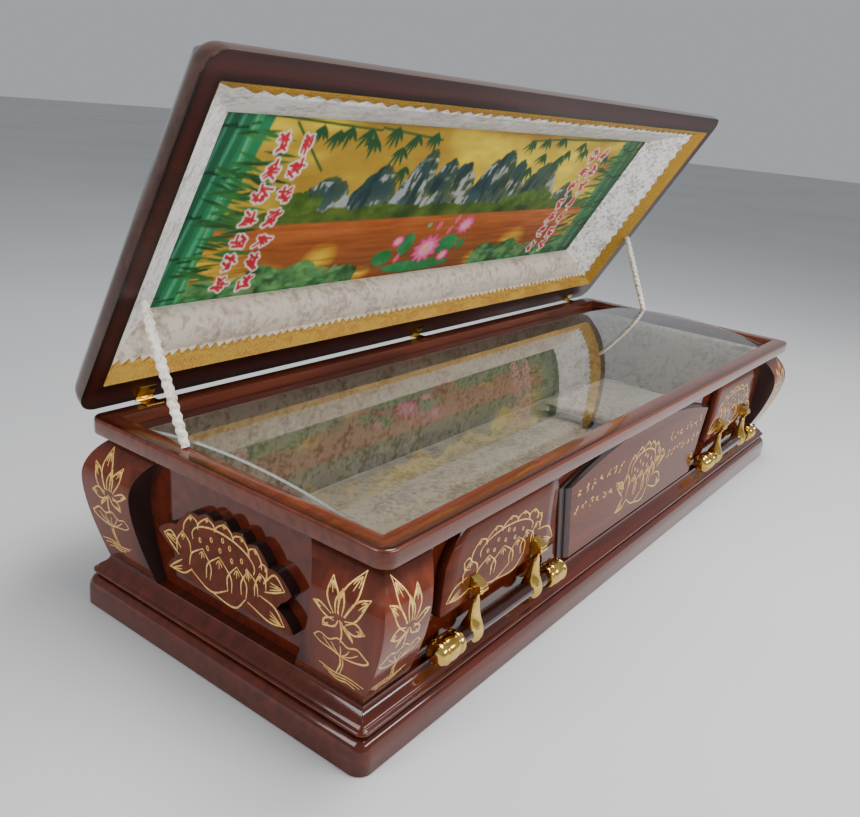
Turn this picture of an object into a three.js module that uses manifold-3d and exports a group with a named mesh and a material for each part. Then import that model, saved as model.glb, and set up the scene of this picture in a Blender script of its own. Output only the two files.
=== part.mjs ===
// A wooden coffin: moulded plinth, lacquered case with curved corner posts and raised
// lotus panels, a glass cover over the bed, and a deep hinged lid that stands open.
// Millimetres. +X runs along the length to the head end, -Y is the front, +Z is up,
// and the origin is the middle of the underside.
import * as THREE from 'three';
import { mergeVertices } from 'three/addons/utils/BufferGeometryUtils.js';
import Module from 'manifold-3d';

const wasm = await Module();
wasm.setup();

// Case
const RIM_X = 1000;
const RIM_Y = 345;
const RIM_TOP = 378;
const RIM_BOTTOM = 347;
const RIM_CORNER = 25;
const RIM_BAND = 42;
const LEDGE_REACH = 14;
const LEDGE_TOP = 353;
const WALL_X = 962;
const WALL_Y = 307;
const WALL_THICK = 22;
const FLOOR_TOP = 38;
const BOARD_THICK = 20;
const PLINTH_X = 1019;
const PLINTH_Y = 350.5;
const SEAT_Z = 99;
const GAP = 0.3;

// Corner posts
const POST_TOP = 337;
const POST_ON_END = 140;
const POST_ON_SIDE = 115;

// Boards on the walls
const PANEL_FACE = 325;
const PLAQUE_FACE = 983;
const LOTUS_BOTTOM = 178;
const LOTUS_TOP = 335;

// Swing handles
const HANDLE_X = 616;
const HANDLE_Y = 335;
const ARM_SPACING = 103;
const BAR_Z = 124;
const BAR_RADIUS = 14;
const BAR_HALF = 163;
const BORE_RADIUS = 15;
const PIVOT_Z = 197;
const EYE_RADIUS = 5.5;
const EYE_HALF = 4.4;
const PIN_RADIUS = 2;
const LUG_HALF = 14;
const CAP_START = 151;
const CAP_LENGTH = 80;
const SOCKET_DEPTH = 12.4;

// Lid, drawn shut and then turned up round the hinge line
const LID_X = 1015;
const LID_Y = 351;
const LID_Z = 381;
const LID_CORNER = 50;
const RECESS_X = 978;
const RECESS_Y = 300;
const PICTURE_X = 842;
const PICTURE_FRONT = -196;
const PICTURE_BACK = 218;
const PICTURE_DEPTH = 99.6;
const PICTURE_LAP = 8;
const PICTURE_THICK = 5;
const PIVOT_Y = 357;
const HINGE_Z = 379.5;
const OPEN_ANGLE = 60.5;
const HINGE_PLACES = [-870, 0, 870];
const BARREL_RADIUS = 4;
const LEAF_THICK = 1;
const LEAF_HALF = 19;
const KNUCKLE_HALF = 6.3;

// Glass and bedding
const GLASS_X = 948;
const GLASS_Y = 300;
const GLASS_RISE = 33;
const GLASS_THICK = 5;
const LINING_THICK = 11;
const MATTRESS_TOP = 110;
const PILLOW_X = 630;
const PILLOW_HALF_X = 210;
const PILLOW_HALF_Y = 170;
const PILLOW_HEIGHT = 80;
const STAY_X = 962;
const STAY_FOOT_Y = 126;
const STAY_LID_Y = 93;
const STAY_RADIUS = 12;

const LACQUER = { color: 0x4b1e14, roughness: 0.12, metalness: 0 };
const BRASS = { color: 0xc9a24a, roughness: 0.25, metalness: 1 };
const BAR_LACQUER = { color: 0x2e130d, roughness: 0.15, metalness: 0 };
const VELVET = { color: 0x9a9186, roughness: 0.95, metalness: 0 };
const LID_VELVET = { color: 0xb9b6ad, roughness: 0.8, metalness: 0 };
const BRAID = { color: 0xc59a3c, roughness: 0.4, metalness: 1 };
const PICTURE = { color: 0x9a8a4c, roughness: 0.6, metalness: 0 };
const GLASS = { color: 0xf2f6f4, roughness: 0.03, metalness: 0 };

const coffin = new THREE.Group();
coffin.name = 'wooden_coffin';

function piece(name, geometry, finish) {
  const material = new THREE.MeshStandardMaterial(finish);
  const mesh = new THREE.Mesh(geometry, material);
  mesh.name = name;
  coffin.add(mesh);
}

// Closed surface through a row of loops, each a list of [x, y, z] with as many points
function surface(loops, cyclic, flat) {
  const count = loops[0].length;
  const positions = loops.flat(2);
  const index = [];
  const spans = cyclic ? loops.length : loops.length - 1;
  for (let k = 0; k < spans; k += 1) {
    const low = k * count;
    const high = ((k + 1) % loops.length) * count;
    for (let i = 0; i < count; i += 1) {
      const j = (i + 1) % count;
      index.push(low + i, low + j, high + j, low + i, high + j, high + i);
    }
  }
  if (!cyclic) {
    const [u, v] = flat;
    const first = loops[0].map((p) => new THREE.Vector2(p[u], p[v]));
    const last = loops[loops.length - 1].map((p) => new THREE.Vector2(p[u], p[v]));
    const base = (loops.length - 1) * count;
    const clockwise = THREE.ShapeUtils.area(first) < 0;
    for (const [a, b, c] of THREE.ShapeUtils.triangulateShape(first, [])) {
      index.push(...(clockwise ? [a, b, c] : [a, c, b]));
    }
    for (const [a, b, c] of THREE.ShapeUtils.triangulateShape(last, [])) {
      index.push(...(clockwise ? [base + a, base + c, base + b] : [base + a, base + b, base + c]));
    }
  }
  const geometry = new THREE.BufferGeometry();
  geometry.setAttribute('position', new THREE.Float32BufferAttribute(positions, 3));
  geometry.setIndex(index);
  return outward(geometry);
}

function volume(geometry) {
  const p = geometry.getAttribute('position');
  const index = geometry.getIndex().array;
  const a = new THREE.Vector3();
  const b = new THREE.Vector3();
  const c = new THREE.Vector3();
  let sum = 0;
  for (let i = 0; i < index.length; i += 3) {
    a.fromBufferAttribute(p, index[i]);
    b.fromBufferAttribute(p, index[i + 1]);
    c.fromBufferAttribute(p, index[i + 2]);
    sum += a.dot(b.cross(c));
  }
  return sum / 6;
}

function outward(geometry) {
  if (volume(geometry) < 0) {
    const index = geometry.getIndex().array;
    for (let i = 0; i < index.length; i += 3) {
      [index[i + 1], index[i + 2]] = [index[i + 2], index[i + 1]];
    }
  }
  return geometry;
}

function toManifold(geometry) {
  const bare = geometry.clone();
  bare.deleteAttribute('normal');
  bare.deleteAttribute('uv');
  const merged = mergeVertices(bare, 1e-4);
  return new wasm.Manifold(new wasm.Mesh({
    numProp: 3,
    vertProperties: new Float32Array(merged.getAttribute('position').array),
    triVerts: new Uint32Array(merged.getIndex().array),
  }));
}

function fromManifold(solid) {
  const mesh = solid.getMesh();
  const geometry = new THREE.BufferGeometry();
  geometry.setAttribute('position', new THREE.BufferAttribute(new Float32Array(mesh.vertProperties), 3));
  geometry.setIndex(new THREE.BufferAttribute(new Uint32Array(mesh.triVerts), 1));
  return geometry;
}

function block(x0, x1, y0, y1, z0, z1) {
  const box = new THREE.BoxGeometry(x1 - x0, y1 - y0, z1 - z0);
  box.translate((x0 + x1) / 2, (y0 + y1) / 2, (z0 + z1) / 2);
  return box;
}

// Cylinder along X
function rod(x0, x1, y, z, radius, sides) {
  const loopAt = (x) => Array.from({ length: sides }, (_, i) => {
    const turn = ((i + 0.5) / sides) * 2 * Math.PI;
    return [x, y + radius * Math.cos(turn), z + radius * Math.sin(turn)];
  });
  return surface([loopAt(x0), loopAt(x1)], false, [1, 2]);
}

// Rectangle with round corners, three steps to a corner
function rounded(x, yLow, yHigh, radius, z) {
  const steps = 3;
  const corners = [[x, yHigh, 0], [-x, yHigh, 1], [-x, yLow, 2], [x, yLow, 3]];
  const loop = [];
  for (const [cx, cy, quarter] of corners) {
    const ox = cx - Math.sign(cx) * radius;
    const oy = cy + (cy === yHigh ? -radius : radius);
    for (let i = 0; i <= steps; i += 1) {
      const turn = ((quarter + i / steps) * Math.PI) / 2;
      loop.push([ox + radius * Math.cos(turn), oy + radius * Math.sin(turn), z]);
    }
  }
  return loop;
}

// The same rectangle, drawn in from a full size by an inset on every side
function inset(x, y, radius, by, z) {
  return rounded(x - by, -(y - by), y - by, Math.max(radius - by, 1), z);
}

function bezier(p, t) {
  const s = 1 - t;
  const weights = [s * s * s, 3 * s * s * t, 3 * s * t * t, t * t * t];
  return [0, 1].map((axis) => p.reduce((sum, point, i) => sum + weights[i] * point[axis], 0));
}

// Plinth: upright skirt, round arris, groove, nose and an ogee up to the case
function basePlinth() {
  const levels = [
    [0, 0], [0, 28], [3, 45], [8, 54], [14, 58], [20, 60], [20, 64], [11, 66],
    [9, 69.5], [11, 73], [16, 76], [26, 84], [32, 91], [36, SEAT_Z],
  ];
  const body = surface(levels.map(([by, z]) => inset(PLINTH_X, PLINTH_Y, RIM_CORNER, by, z)), false, [0, 1]);
  const well = block(-WALL_X - GAP, WALL_X + GAP, -WALL_Y - GAP, WALL_Y + GAP, BOARD_THICK, SEAT_Z + 1);
  return fromManifold(toManifold(body).subtract(toManifold(well)));
}

// Four walls and a floor, open at the top
function caseShell() {
  const outer = block(-WALL_X, WALL_X, -WALL_Y, WALL_Y, BOARD_THICK + GAP, RIM_BOTTOM - GAP);
  const innerX = WALL_X - WALL_THICK;
  const innerY = WALL_Y - WALL_THICK;
  const inner = block(-innerX, innerX, -innerY, innerY, FLOOR_TOP, RIM_TOP);
  return fromManifold(toManifold(outer).subtract(toManifold(inner)));
}

// Rim: round outer edges, straight inner face and the ledge that carries the glass
function topRim() {
  const outside = [[3, RIM_BOTTOM], [0, RIM_BOTTOM + 3], [0, RIM_TOP - 5], [1.5, RIM_TOP - 1.5], [5, RIM_TOP]];
  const loops = outside.map(([by, z]) => inset(RIM_X, RIM_Y, RIM_CORNER, by, z));
  const inside = [
    [RIM_BAND, RIM_TOP], [RIM_BAND, LEDGE_TOP],
    [RIM_BAND + LEDGE_REACH, LEDGE_TOP], [RIM_BAND + LEDGE_REACH, RIM_BOTTOM],
  ];
  for (const [by, z] of inside) {
    loops.push(rounded(RIM_X - by, -(RIM_Y - by), RIM_Y - by, 1, z));
  }
  return surface(loops, true);
}

// How far a post stands out past the rim line, from its top to its foot
function postProfile(belly, foot, topPull, footPull) {
  const upper = [[-32, POST_TOP], [topPull, POST_TOP - 8], [belly, 298], [belly, 258]];
  const lower = [[belly, 258], [belly, 215], [footPull, 150], [foot, SEAT_Z + GAP]];
  const steps = 9;
  const rows = [];
  for (const curve of [upper, lower]) {
    for (let i = 0; i < steps; i += 1) {
      rows.push(bezier(curve, i / steps));
    }
  }
  rows.push(lower[3]);
  return rows;
}

// Curved board wrapped round a corner, its plan an L with a sharp outer arris
function cornerPost(signX, signY) {
  const ends = postProfile(9, -16, -24, -4);
  const sides = postProfile(14, -33, -16, -9);
  const backX = WALL_X + GAP;
  const backY = WALL_Y + GAP;
  const loops = ends.map(([out], i) => {
    const x = RIM_X + out;
    const y = RIM_Y + sides[i][0];
    const z = Math.min(ends[i][1], RIM_BOTTOM - GAP);
    const plan = [
      [x, y], [x, y - POST_ON_END], [backX, y - POST_ON_END],
      [backX, backY], [x - POST_ON_SIDE, backY], [x - POST_ON_SIDE, y],
    ];
    return plan.map(([px, py]) => [signX * px, signY * py, z]);
  });
  return surface(loops, false, [0, 1]);
}

// Straight prism along Y with the outline given as [x, z]
function slab(outline, yBack, yFace) {
  const at = (y) => outline.map(([x, z]) => [x, y, z]);
  return surface([at(yBack), at(yFace)], false, [0, 2]);
}

// Raised board with a flat face and a fully rounded top edge
function lotusPanel(signX, signY) {
  const outline = [
    [424, LOTUS_BOTTOM + 6], [430, LOTUS_BOTTOM], [804, LOTUS_BOTTOM], [812, LOTUS_BOTTOM + 10],
    [812, 296], [806, 318], [782, LOTUS_TOP], [450, LOTUS_TOP], [444, 300], [438, 240],
  ].map(([x, z]) => [signX * x, z]);
  const back = signY * (WALL_Y + GAP);
  const board = slab(outline, back, signY * PANEL_FACE);
  const reach = PANEL_FACE - WALL_Y - GAP;
  const roll = [];
  for (let i = 0; i <= 6; i += 1) {
    const turn = (i / 6) * (Math.PI / 2);
    const y = signY * (PANEL_FACE - (reach - 2) * (1 - Math.cos(turn)));
    roll.push([y, LOTUS_TOP - 34 * (1 - Math.sin(turn))]);
  }
  const section = [[back, LOTUS_BOTTOM - 1], [signY * PANEL_FACE, LOTUS_BOTTOM - 1], ...roll, [back, LOTUS_TOP]];
  const at = (x) => section.map(([y, z]) => [signX * x, y, z]);
  const profile = surface([at(410), at(820)], false, [1, 2]);
  return fromManifold(toManifold(board).intersect(toManifold(profile)));
}

// Outline of the wide board: sides leaning outward, a low arch on top
function archOutline(grow, yAt) {
  const bottom = [341 + grow, 118];
  const spring = [386 + grow, 287];
  const crown = Math.min(335 + grow, RIM_BOTTOM - 1.5);
  const rise = crown - spring[1];
  const radius = (spring[0] * spring[0] + rise * rise) / (2 * rise);
  const points = [[-bottom[0], bottom[1]], [bottom[0], bottom[1]]];
  const steps = 14;
  for (let i = 0; i <= steps; i += 1) {
    const x = spring[0] * (1 - (2 * i) / steps);
    points.push([x, crown - radius + Math.sqrt(radius * radius - x * x)]);
  }
  return points.map(([x, z]) => [x, yAt, z]);
}

// Wide arched board, its edge stepped and sloped back to the wall
function centrePanel(signY) {
  const steps = [[23, WALL_Y + GAP], [23, 311], [13, 315], [11, 320], [2, 323.5], [0, PANEL_FACE]];
  return surface(steps.map(([grow, y]) => archOutline(grow, signY * y)), false, [0, 2]);
}

// Board cut out along the outline of the lotus, [sideways, z]
const LOTUS_OUTLINE = [
  [-169, 213], [-144, 232], [-120, 239], [-104, 258], [-86, 275], [-63, 277], [-43, 287], [-24, 280],
  [1, 291], [18, 277], [42, 284], [55, 270], [75, 276], [98, 258], [105, 248], [124, 248],
  [158, 220], [136, 198], [127, 185], [150, 172], [166, 153], [123, 149], [82, 146], [57, 149],
  [35, 147], [21, 139], [-2, 142], [-29, 149], [-50, 143], [-79, 146], [-120, 151], [-144, 148],
  [-133, 165], [-113, 178], [-136, 192], [-155, 202],
];

function endPlaque(signX) {
  const at = (x) => LOTUS_OUTLINE.map(([side, z]) => [x, signX * side, z]);
  const levels = [WALL_X + GAP, PLAQUE_FACE];
  return surface(levels.map((x) => at(signX * x)), false, [1, 2]);
}

// Turned solid along X; the profile is [distance along, radius], both ends on the axis
function turned(profile, sides, centre, signX) {
  const points = profile.map(([along, radius]) => new THREE.Vector2(radius, along));
  const lathe = new THREE.LatheGeometry(points, sides);
  lathe.rotateZ(-Math.PI / 2);
  if (signX < 0) {
    lathe.rotateY(Math.PI);
  }
  lathe.translate(...centre);
  return fromManifold(toManifold(welded(lathe)));
}

function welded(geometry) {
  const bare = geometry.clone();
  bare.deleteAttribute('normal');
  bare.deleteAttribute('uv');
  return outward(mergeVertices(bare, 1e-3));
}

// Square block with two ears below it and the pin that the arm hangs from
function handleLug(x, signY) {
  const back = PANEL_FACE + GAP;
  const front = 341;
  const earBottom = PIVOT_Z - 6;
  const blockBottom = PIVOT_Z + EYE_RADIUS + 1;
  const box = (x0, x1, y0, y1, z0, z1) => {
    const ys = [signY * y0, signY * y1].sort((a, b) => a - b);
    return toManifold(block(x + x0, x + x1, ys[0], ys[1], z0, z1));
  };
  const head = box(-LUG_HALF, LUG_HALF, back, front, blockBottom, blockBottom + 25);
  const ears = [-1, 1].map((side) => {
    const edges = [side * (EYE_HALF + 1), side * 12].sort((a, b) => a - b);
    return box(edges[0], edges[1], back, front - 1, earBottom, blockBottom + 1);
  });
  const pin = toManifold(rod(x - 8, x + 8, signY * HANDLE_Y, PIVOT_Z, PIN_RADIUS, 8));
  return fromManifold(head.add(ears[0]).add(ears[1]).add(pin));
}

// Hanging arm: eye on the pin, a shank that widens downward, and a ring round the bar
function handleArm(x, signY) {
  const y = signY * HANDLE_Y;
  const ringHalf = 18;
  const ring = [[-ringHalf, 16.5], [-11, 20], [0, 23], [11, 20], [ringHalf, 16.5]];
  const loops = [...ring, [ringHalf, BORE_RADIUS], [-ringHalf, BORE_RADIUS]].map(([along, radius]) => {
    const sides = 16;
    return Array.from({ length: sides }, (_, i) => {
      const turn = (i / sides) * 2 * Math.PI;
      return [x + along, y + radius * Math.cos(turn), BAR_Z + radius * Math.sin(turn)];
    });
  });
  const levels = [[BAR_Z + 15.5, 13, 7.5], [152, 9, 6.5], [175, 7.5, 5.5], [184, 7, 5.2],
    [189, EYE_HALF, 5], [PIVOT_Z, EYE_HALF, 5]];
  const octagon = [[1, 0.5], [0.6, 1], [-0.6, 1], [-1, 0.5], [-1, -0.5], [-0.6, -1], [0.6, -1], [1, -0.5]];
  const shank = surface(levels.map(([z, halfX, halfY]) => octagon.map(([u, v]) => [x + u * halfX, y + v * halfY, z])), false, [0, 1]);
  const eye = toManifold(rod(x - EYE_HALF, x + EYE_HALF, y, PIVOT_Z, EYE_RADIUS, 12));
  const hole = toManifold(rod(x - 20, x + 20, y, PIVOT_Z, PIN_RADIUS + GAP + 0.1, 8));
  const bore = toManifold(rod(x - 30, x + 30, y, BAR_Z, BORE_RADIUS, 16));
  const solid = toManifold(shank).add(eye).subtract(hole).subtract(bore).add(toManifold(surface(loops, true)));
  return fromManifold(solid);
}

// Barrel-shaped end cap with rings, a socket for the bar and a round outer end
function handleCap(x, signX, signY) {
  const profile = [
    [SOCKET_DEPTH, 0], [SOCKET_DEPTH, BORE_RADIUS], [0, BORE_RADIUS], [0, 20], [4, 22.5], [11, 22.5],
    [14, 20.5], [18, 23], [44, 24], [56, 22], [60, 23.5], [70, 20.5], [77, 12.5], [CAP_LENGTH, 0],
  ];
  return turned(profile, 14, [x + signX * CAP_START, signY * HANDLE_Y, BAR_Z], signX);
}

function swingHandle(name, signX, signY) {
  const x = signX * HANDLE_X;
  const y = signY * HANDLE_Y;
  piece(`${name}_bar`, rod(x - BAR_HALF, x + BAR_HALF, y, BAR_Z, BAR_RADIUS, 16), BAR_LACQUER);
  for (const [part, side] of [['outer', signX], ['inner', -signX]]) {
    const armX = x + side * ARM_SPACING;
    piece(`${name}_${part}_lug`, handleLug(armX, signY), BRASS);
    piece(`${name}_${part}_arm`, handleArm(armX, signY), BRASS);
    piece(`${name}_${part}_cap`, handleCap(x, side, signY), BRASS);
  }
}

// Lid shell: bulging side moulding, a step, a domed crown, and the recess inside
function lidShell() {
  const outside = [
    [0, 0], [-1.5, 3], [-4.5, 8], [-6, 15], [-5, 23], [-1, 29], [5, 32.5], [14, 34], [20, 38],
    [27, 52], [44, 74], [68, 96], [100, 116], [140, 129], [185, 134],
  ];
  const body = surface(outside.map(([by, z]) => inset(LID_X, LID_Y, LID_CORNER, by, LID_Z + z)), false, [0, 1]);
  const recess = [[0, -1], [2, 20], [26, 60], [63, 99], [98, 118]];
  const hollow = surface(recess.map(([by, z]) => {
    return rounded(RECESS_X - by, -(RECESS_Y - by * 0.75), RECESS_Y - by * 0.75, 6, LID_Z + z);
  }), false, [0, 1]);
  return fromManifold(toManifold(body).subtract(toManifold(hollow)));
}

// Padded sides of the recess, running in from the flange to the picture
function lidLining() {
  const outside = [[0.5, 3.8], [2.6, 20], [26.6, 60], [62.6, 98]];
  const loops = outside.map(([by, z]) => {
    return rounded(RECESS_X - by, -(RECESS_Y - by * 0.75) + 0.4, RECESS_Y - by * 0.75 - 0.4, 6, LID_Z + z);
  });
  const inside = [
    [PICTURE_X, PICTURE_FRONT, PICTURE_BACK, 98], [PICTURE_X + 6, PICTURE_FRONT - 6, PICTURE_BACK + 4, 84],
    [882, -224, 226, 62], [922, -254, 244, 36], [946, -276, 266, 14], [957, -286, 284, 3.8],
  ];
  for (const [x, front, back, z] of inside) {
    loops.push(rounded(x, front, back, 4, LID_Z + z));
  }
  return surface(loops, true);
}

function goldBraid() {
  const outer = [RECESS_X - 0.6, -RECESS_Y + 0.6, RECESS_Y - 0.6];
  const inner = [957, -286, 284];
  return surface([
    rounded(...outer, 6, LID_Z + 0.6), rounded(...outer, 6, LID_Z + 3.4),
    rounded(...inner, 4, LID_Z + 3.4), rounded(...inner, 4, LID_Z + 0.6),
  ], true);
}

function picturePanel() {
  const x = PICTURE_X + PICTURE_LAP;
  const low = LID_Z + PICTURE_DEPTH;
  return block(-x, x, PICTURE_FRONT - PICTURE_LAP, PICTURE_BACK + PICTURE_LAP, low, low + PICTURE_THICK);
}

// One leaf with its knuckles, lying shut; spans lists the knuckles along X
function hingeLeaf(x, low, reach, spans) {
  const plate = block(x - LEAF_HALF, x + LEAF_HALF, PIVOT_Y - reach, PIVOT_Y - BARREL_RADIUS - 1, low, low + LEAF_THICK);
  let solid = toManifold(plate);
  for (const [start, end] of spans) {
    const tongueEnd = PIVOT_Y - BARREL_RADIUS * 0.6;
    const tongue = block(x + start, x + end, PIVOT_Y - BARREL_RADIUS - 2, tongueEnd, low, low + LEAF_THICK);
    solid = solid.add(toManifold(tongue));
    solid = solid.add(toManifold(rod(x + start, x + end, PIVOT_Y, HINGE_Z, BARREL_RADIUS, 12)));
  }
  return fromManifold(solid);
}

// Turns a piece of the lid from its shut place to its open rest
function raised(geometry) {
  geometry.translate(0, -PIVOT_Y, -HINGE_Z);
  geometry.rotateX((-OPEN_ANGLE * Math.PI) / 180);
  geometry.translate(0, PIVOT_Y, HINGE_Z);
  return geometry;
}

// Shallow vault lying on the ledge
function glassCover() {
  const radius = (GLASS_Y * GLASS_Y + GLASS_RISE * GLASS_RISE) / (2 * GLASS_RISE);
  const foot = LEDGE_TOP + GAP;
  const steps = 16;
  const section = [];
  for (const [thick, order] of [[GLASS_THICK, 1], [0, -1]]) {
    for (let i = 0; i <= steps; i += 1) {
      const y = order * GLASS_Y * (1 - (2 * i) / steps);
      const arch = Math.sqrt(radius * radius - y * y) - (radius - GLASS_RISE);
      section.push([y, foot + Math.max(arch, 0) + (thick > 0 ? thick : 0)]);
    }
  }
  const at = (x) => section.map(([y, z]) => [x, y, z]);
  return surface([at(-GLASS_X), at(GLASS_X)], false, [1, 2]);
}

function caseLining() {
  const x = WALL_X - WALL_THICK - 0.4;
  const y = WALL_Y - WALL_THICK - 0.4;
  const outer = block(-x, x, -y, y, FLOOR_TOP + 0.4, RIM_BOTTOM - 1);
  const inner = block(-x + LINING_THICK, x - LINING_THICK, -y + LINING_THICK, y - LINING_THICK,
    FLOOR_TOP + LINING_THICK, RIM_TOP);
  return fromManifold(toManifold(outer).subtract(toManifold(inner)));
}

function mattress() {
  const x = WALL_X - WALL_THICK - LINING_THICK - 1.5;
  const y = WALL_Y - WALL_THICK - LINING_THICK - 1.5;
  const low = FLOOR_TOP + LINING_THICK + 0.4;
  const levels = [[8, low], [0, low + 8], [0, MATTRESS_TOP - 16], [5, MATTRESS_TOP - 5], [16, MATTRESS_TOP]];
  return surface(levels.map(([by, z]) => inset(x, y, 30, by, z)), false, [0, 1]);
}

function pillow() {
  const low = MATTRESS_TOP + 0.4;
  const levels = [[45, 0], [14, 14], [2, 32], [2, 42], [16, 60], [48, 74], [90, PILLOW_HEIGHT]];
  const loops = levels.map(([by, z]) => inset(PILLOW_HALF_X, PILLOW_HALF_Y, 60, by, low + z));
  const geometry = surface(loops, false, [0, 1]);
  geometry.translate(PILLOW_X, 0, 0);
  return geometry;
}

// Straight strut sleeve from the rim up to the flange of the open lid
function stay(signX) {
  const angle = (-OPEN_ANGLE * Math.PI) / 180;
  const out = STAY_LID_Y - PIVOT_Y;
  const clear = 14;
  const depth = LID_Z - HINGE_Z - clear;
  const head = [
    PIVOT_Y + out * Math.cos(angle) - depth * Math.sin(angle),
    HINGE_Z + out * Math.sin(angle) + depth * Math.cos(angle),
  ];
  const foot = [STAY_FOOT_Y, RIM_TOP + 1];
  const ringAt = ([y, z]) => Array.from({ length: 10 }, (_, i) => {
    const turn = (i / 10) * 2 * Math.PI;
    return [signX * STAY_X + STAY_RADIUS * Math.cos(turn), y + STAY_RADIUS * Math.sin(turn), z];
  });
  return surface([ringAt(foot), ringAt(head)], false, [0, 1]);
}

piece('base_plinth', basePlinth(), LACQUER);
piece('case_shell', caseShell(), LACQUER);
piece('top_rim', topRim(), LACQUER);
for (const [side, signY] of [['front', -1], ['back', 1]]) {
  for (const [end, signX] of [['foot', -1], ['head', 1]]) {
    piece(`corner_post_${side}_${end}`, cornerPost(signX, signY), LACQUER);
    piece(`lotus_panel_${side}_${end}`, lotusPanel(signX, signY), LACQUER);
    swingHandle(`handle_${side}_${end}`, signX, signY);
  }
  piece(`centre_panel_${side}`, centrePanel(signY), LACQUER);
}
for (const [end, signX] of [['foot', -1], ['head', 1]]) {
  piece(`end_plaque_${end}`, endPlaque(signX), LACQUER);
  piece(`stay_${end}`, stay(signX), LID_VELVET);
}
piece('glass_cover', glassCover(), GLASS);
piece('case_lining', caseLining(), VELVET);
piece('mattress', mattress(), VELVET);
piece('pillow', pillow(), VELVET);
piece('lid_shell', raised(lidShell()), LACQUER);
piece('lid_lining', raised(lidLining()), LID_VELVET);
piece('gold_braid', raised(goldBraid()), BRAID);
piece('picture_panel', raised(picturePanel()), PICTURE);
HINGE_PLACES.forEach((x, i) => {
  const place = ['foot', 'middle', 'head'][i];
  const outer = [[-LEAF_HALF, -KNUCKLE_HALF - GAP], [KNUCKLE_HALF + GAP, LEAF_HALF]];
  piece(`hinge_${place}_case_leaf`, hingeLeaf(x, RIM_TOP + GAP, 36, outer), BRASS);
  const middle = [[-KNUCKLE_HALF, KNUCKLE_HALF]];
  piece(`hinge_${place}_lid_leaf`, raised(hingeLeaf(x, LID_Z - LEAF_THICK - GAP, 32, middle)), BRASS);
});

export default coffin;
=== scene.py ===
"""Wooden coffin: gilt lotus boards, curved corner posts, a glass cover and a raised lid.

Every size is in millimetres until a mesh is made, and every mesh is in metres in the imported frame:
+X to the head end, -Y the front, +Z up, with the origin in the middle of the underside.
"""

import logging
import math
from collections.abc import Callable, Sequence
from dataclasses import dataclass, field
from enum import Enum

import bmesh
import bpy
import numpy as np
from mathutils import Matrix, Vector

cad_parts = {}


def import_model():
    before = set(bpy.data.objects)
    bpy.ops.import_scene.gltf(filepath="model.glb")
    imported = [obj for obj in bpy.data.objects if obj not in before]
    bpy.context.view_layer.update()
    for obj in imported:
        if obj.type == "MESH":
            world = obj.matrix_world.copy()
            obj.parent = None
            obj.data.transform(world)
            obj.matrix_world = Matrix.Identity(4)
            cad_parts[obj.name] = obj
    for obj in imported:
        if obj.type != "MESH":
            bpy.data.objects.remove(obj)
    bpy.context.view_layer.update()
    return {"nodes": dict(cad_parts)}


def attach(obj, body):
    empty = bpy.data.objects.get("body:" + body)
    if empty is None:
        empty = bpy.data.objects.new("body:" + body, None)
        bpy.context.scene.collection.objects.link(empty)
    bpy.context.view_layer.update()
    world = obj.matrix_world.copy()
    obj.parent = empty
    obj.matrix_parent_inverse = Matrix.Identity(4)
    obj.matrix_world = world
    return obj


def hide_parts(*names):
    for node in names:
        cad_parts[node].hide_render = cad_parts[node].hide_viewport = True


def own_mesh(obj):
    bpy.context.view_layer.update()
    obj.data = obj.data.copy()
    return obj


log = logging.getLogger("coffin")

Point = tuple[float, float, float]
Flat = tuple[float, float]
Stroke = tuple[list[Flat], float]

PIVOT_Y, PIVOT_Z, OPEN_ANGLE = 357.0, 379.5, math.radians(-60.5)


class Side(Enum):
    """The two long sides, by the sign of Y."""

    FRONT = -1
    BACK = 1


class End(Enum):
    """The two ends, by the sign of X."""

    FOOT = -1
    HEAD = 1


def tint(red: float, green: float, blue: float) -> tuple[float, float, float, float]:
    """Turns a 0-255 screen colour into the linear colour that a shader takes."""
    parts = [c / 255 for c in (red, green, blue)]
    return tuple([c / 12.92 if c < 0.04045 else ((c + 0.055) / 1.055) ** 2.4 for c in parts] + [1.0])


def blend(a: float, b: float, share: float) -> float:
    """Goes from a to b by a share."""
    return a + (b - a) * share


def bezier(points: Sequence[Flat], steps: int) -> list[Flat]:
    """Samples one cubic curve.

    Args:
        points: its four control points.
        steps: how many pieces it is cut into.

    Returns:
        steps + 1 points along it.
    """
    made = []
    for i in range(steps + 1):
        t = i / steps
        w = ((1 - t) ** 3, 3 * t * (1 - t) ** 2, 3 * t * t * (1 - t), t ** 3)
        made.append(tuple(sum(wi * p[k] for wi, p in zip(w, points)) for k in (0, 1)))
    return made


def curve_through(points: Sequence[Sequence[float]], per_span: int = 8,
                  closed: bool = False) -> list[tuple[float, ...]]:
    """Draws a smooth line through every point.

    Args:
        points: the points, in any number of dimensions.
        per_span: samples between two points.
        closed: joins the last point to the first.

    Returns:
        The samples, with the last point where the line is open.
    """
    p = [np.array(q, float) for q in points]
    n = len(p)
    made = []
    for i in range(n if closed else n - 1):
        a = p[(i - 1) % n] if closed or i > 0 else 2 * p[0] - p[1]
        b, c = p[i], p[(i + 1) % n]
        d = p[(i + 2) % n] if closed or i + 2 < n else 2 * p[-1] - p[-2]
        for k in range(per_span):
            t = k / per_span
            made.append(tuple(0.5 * (2 * b + (c - a) * t + (2 * a - 5 * b + 4 * c - d) * t * t
                                     + (3 * b - a - 3 * c + d) * t ** 3)))
    if not closed:
        made.append(tuple(p[-1]))
    return made


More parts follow.
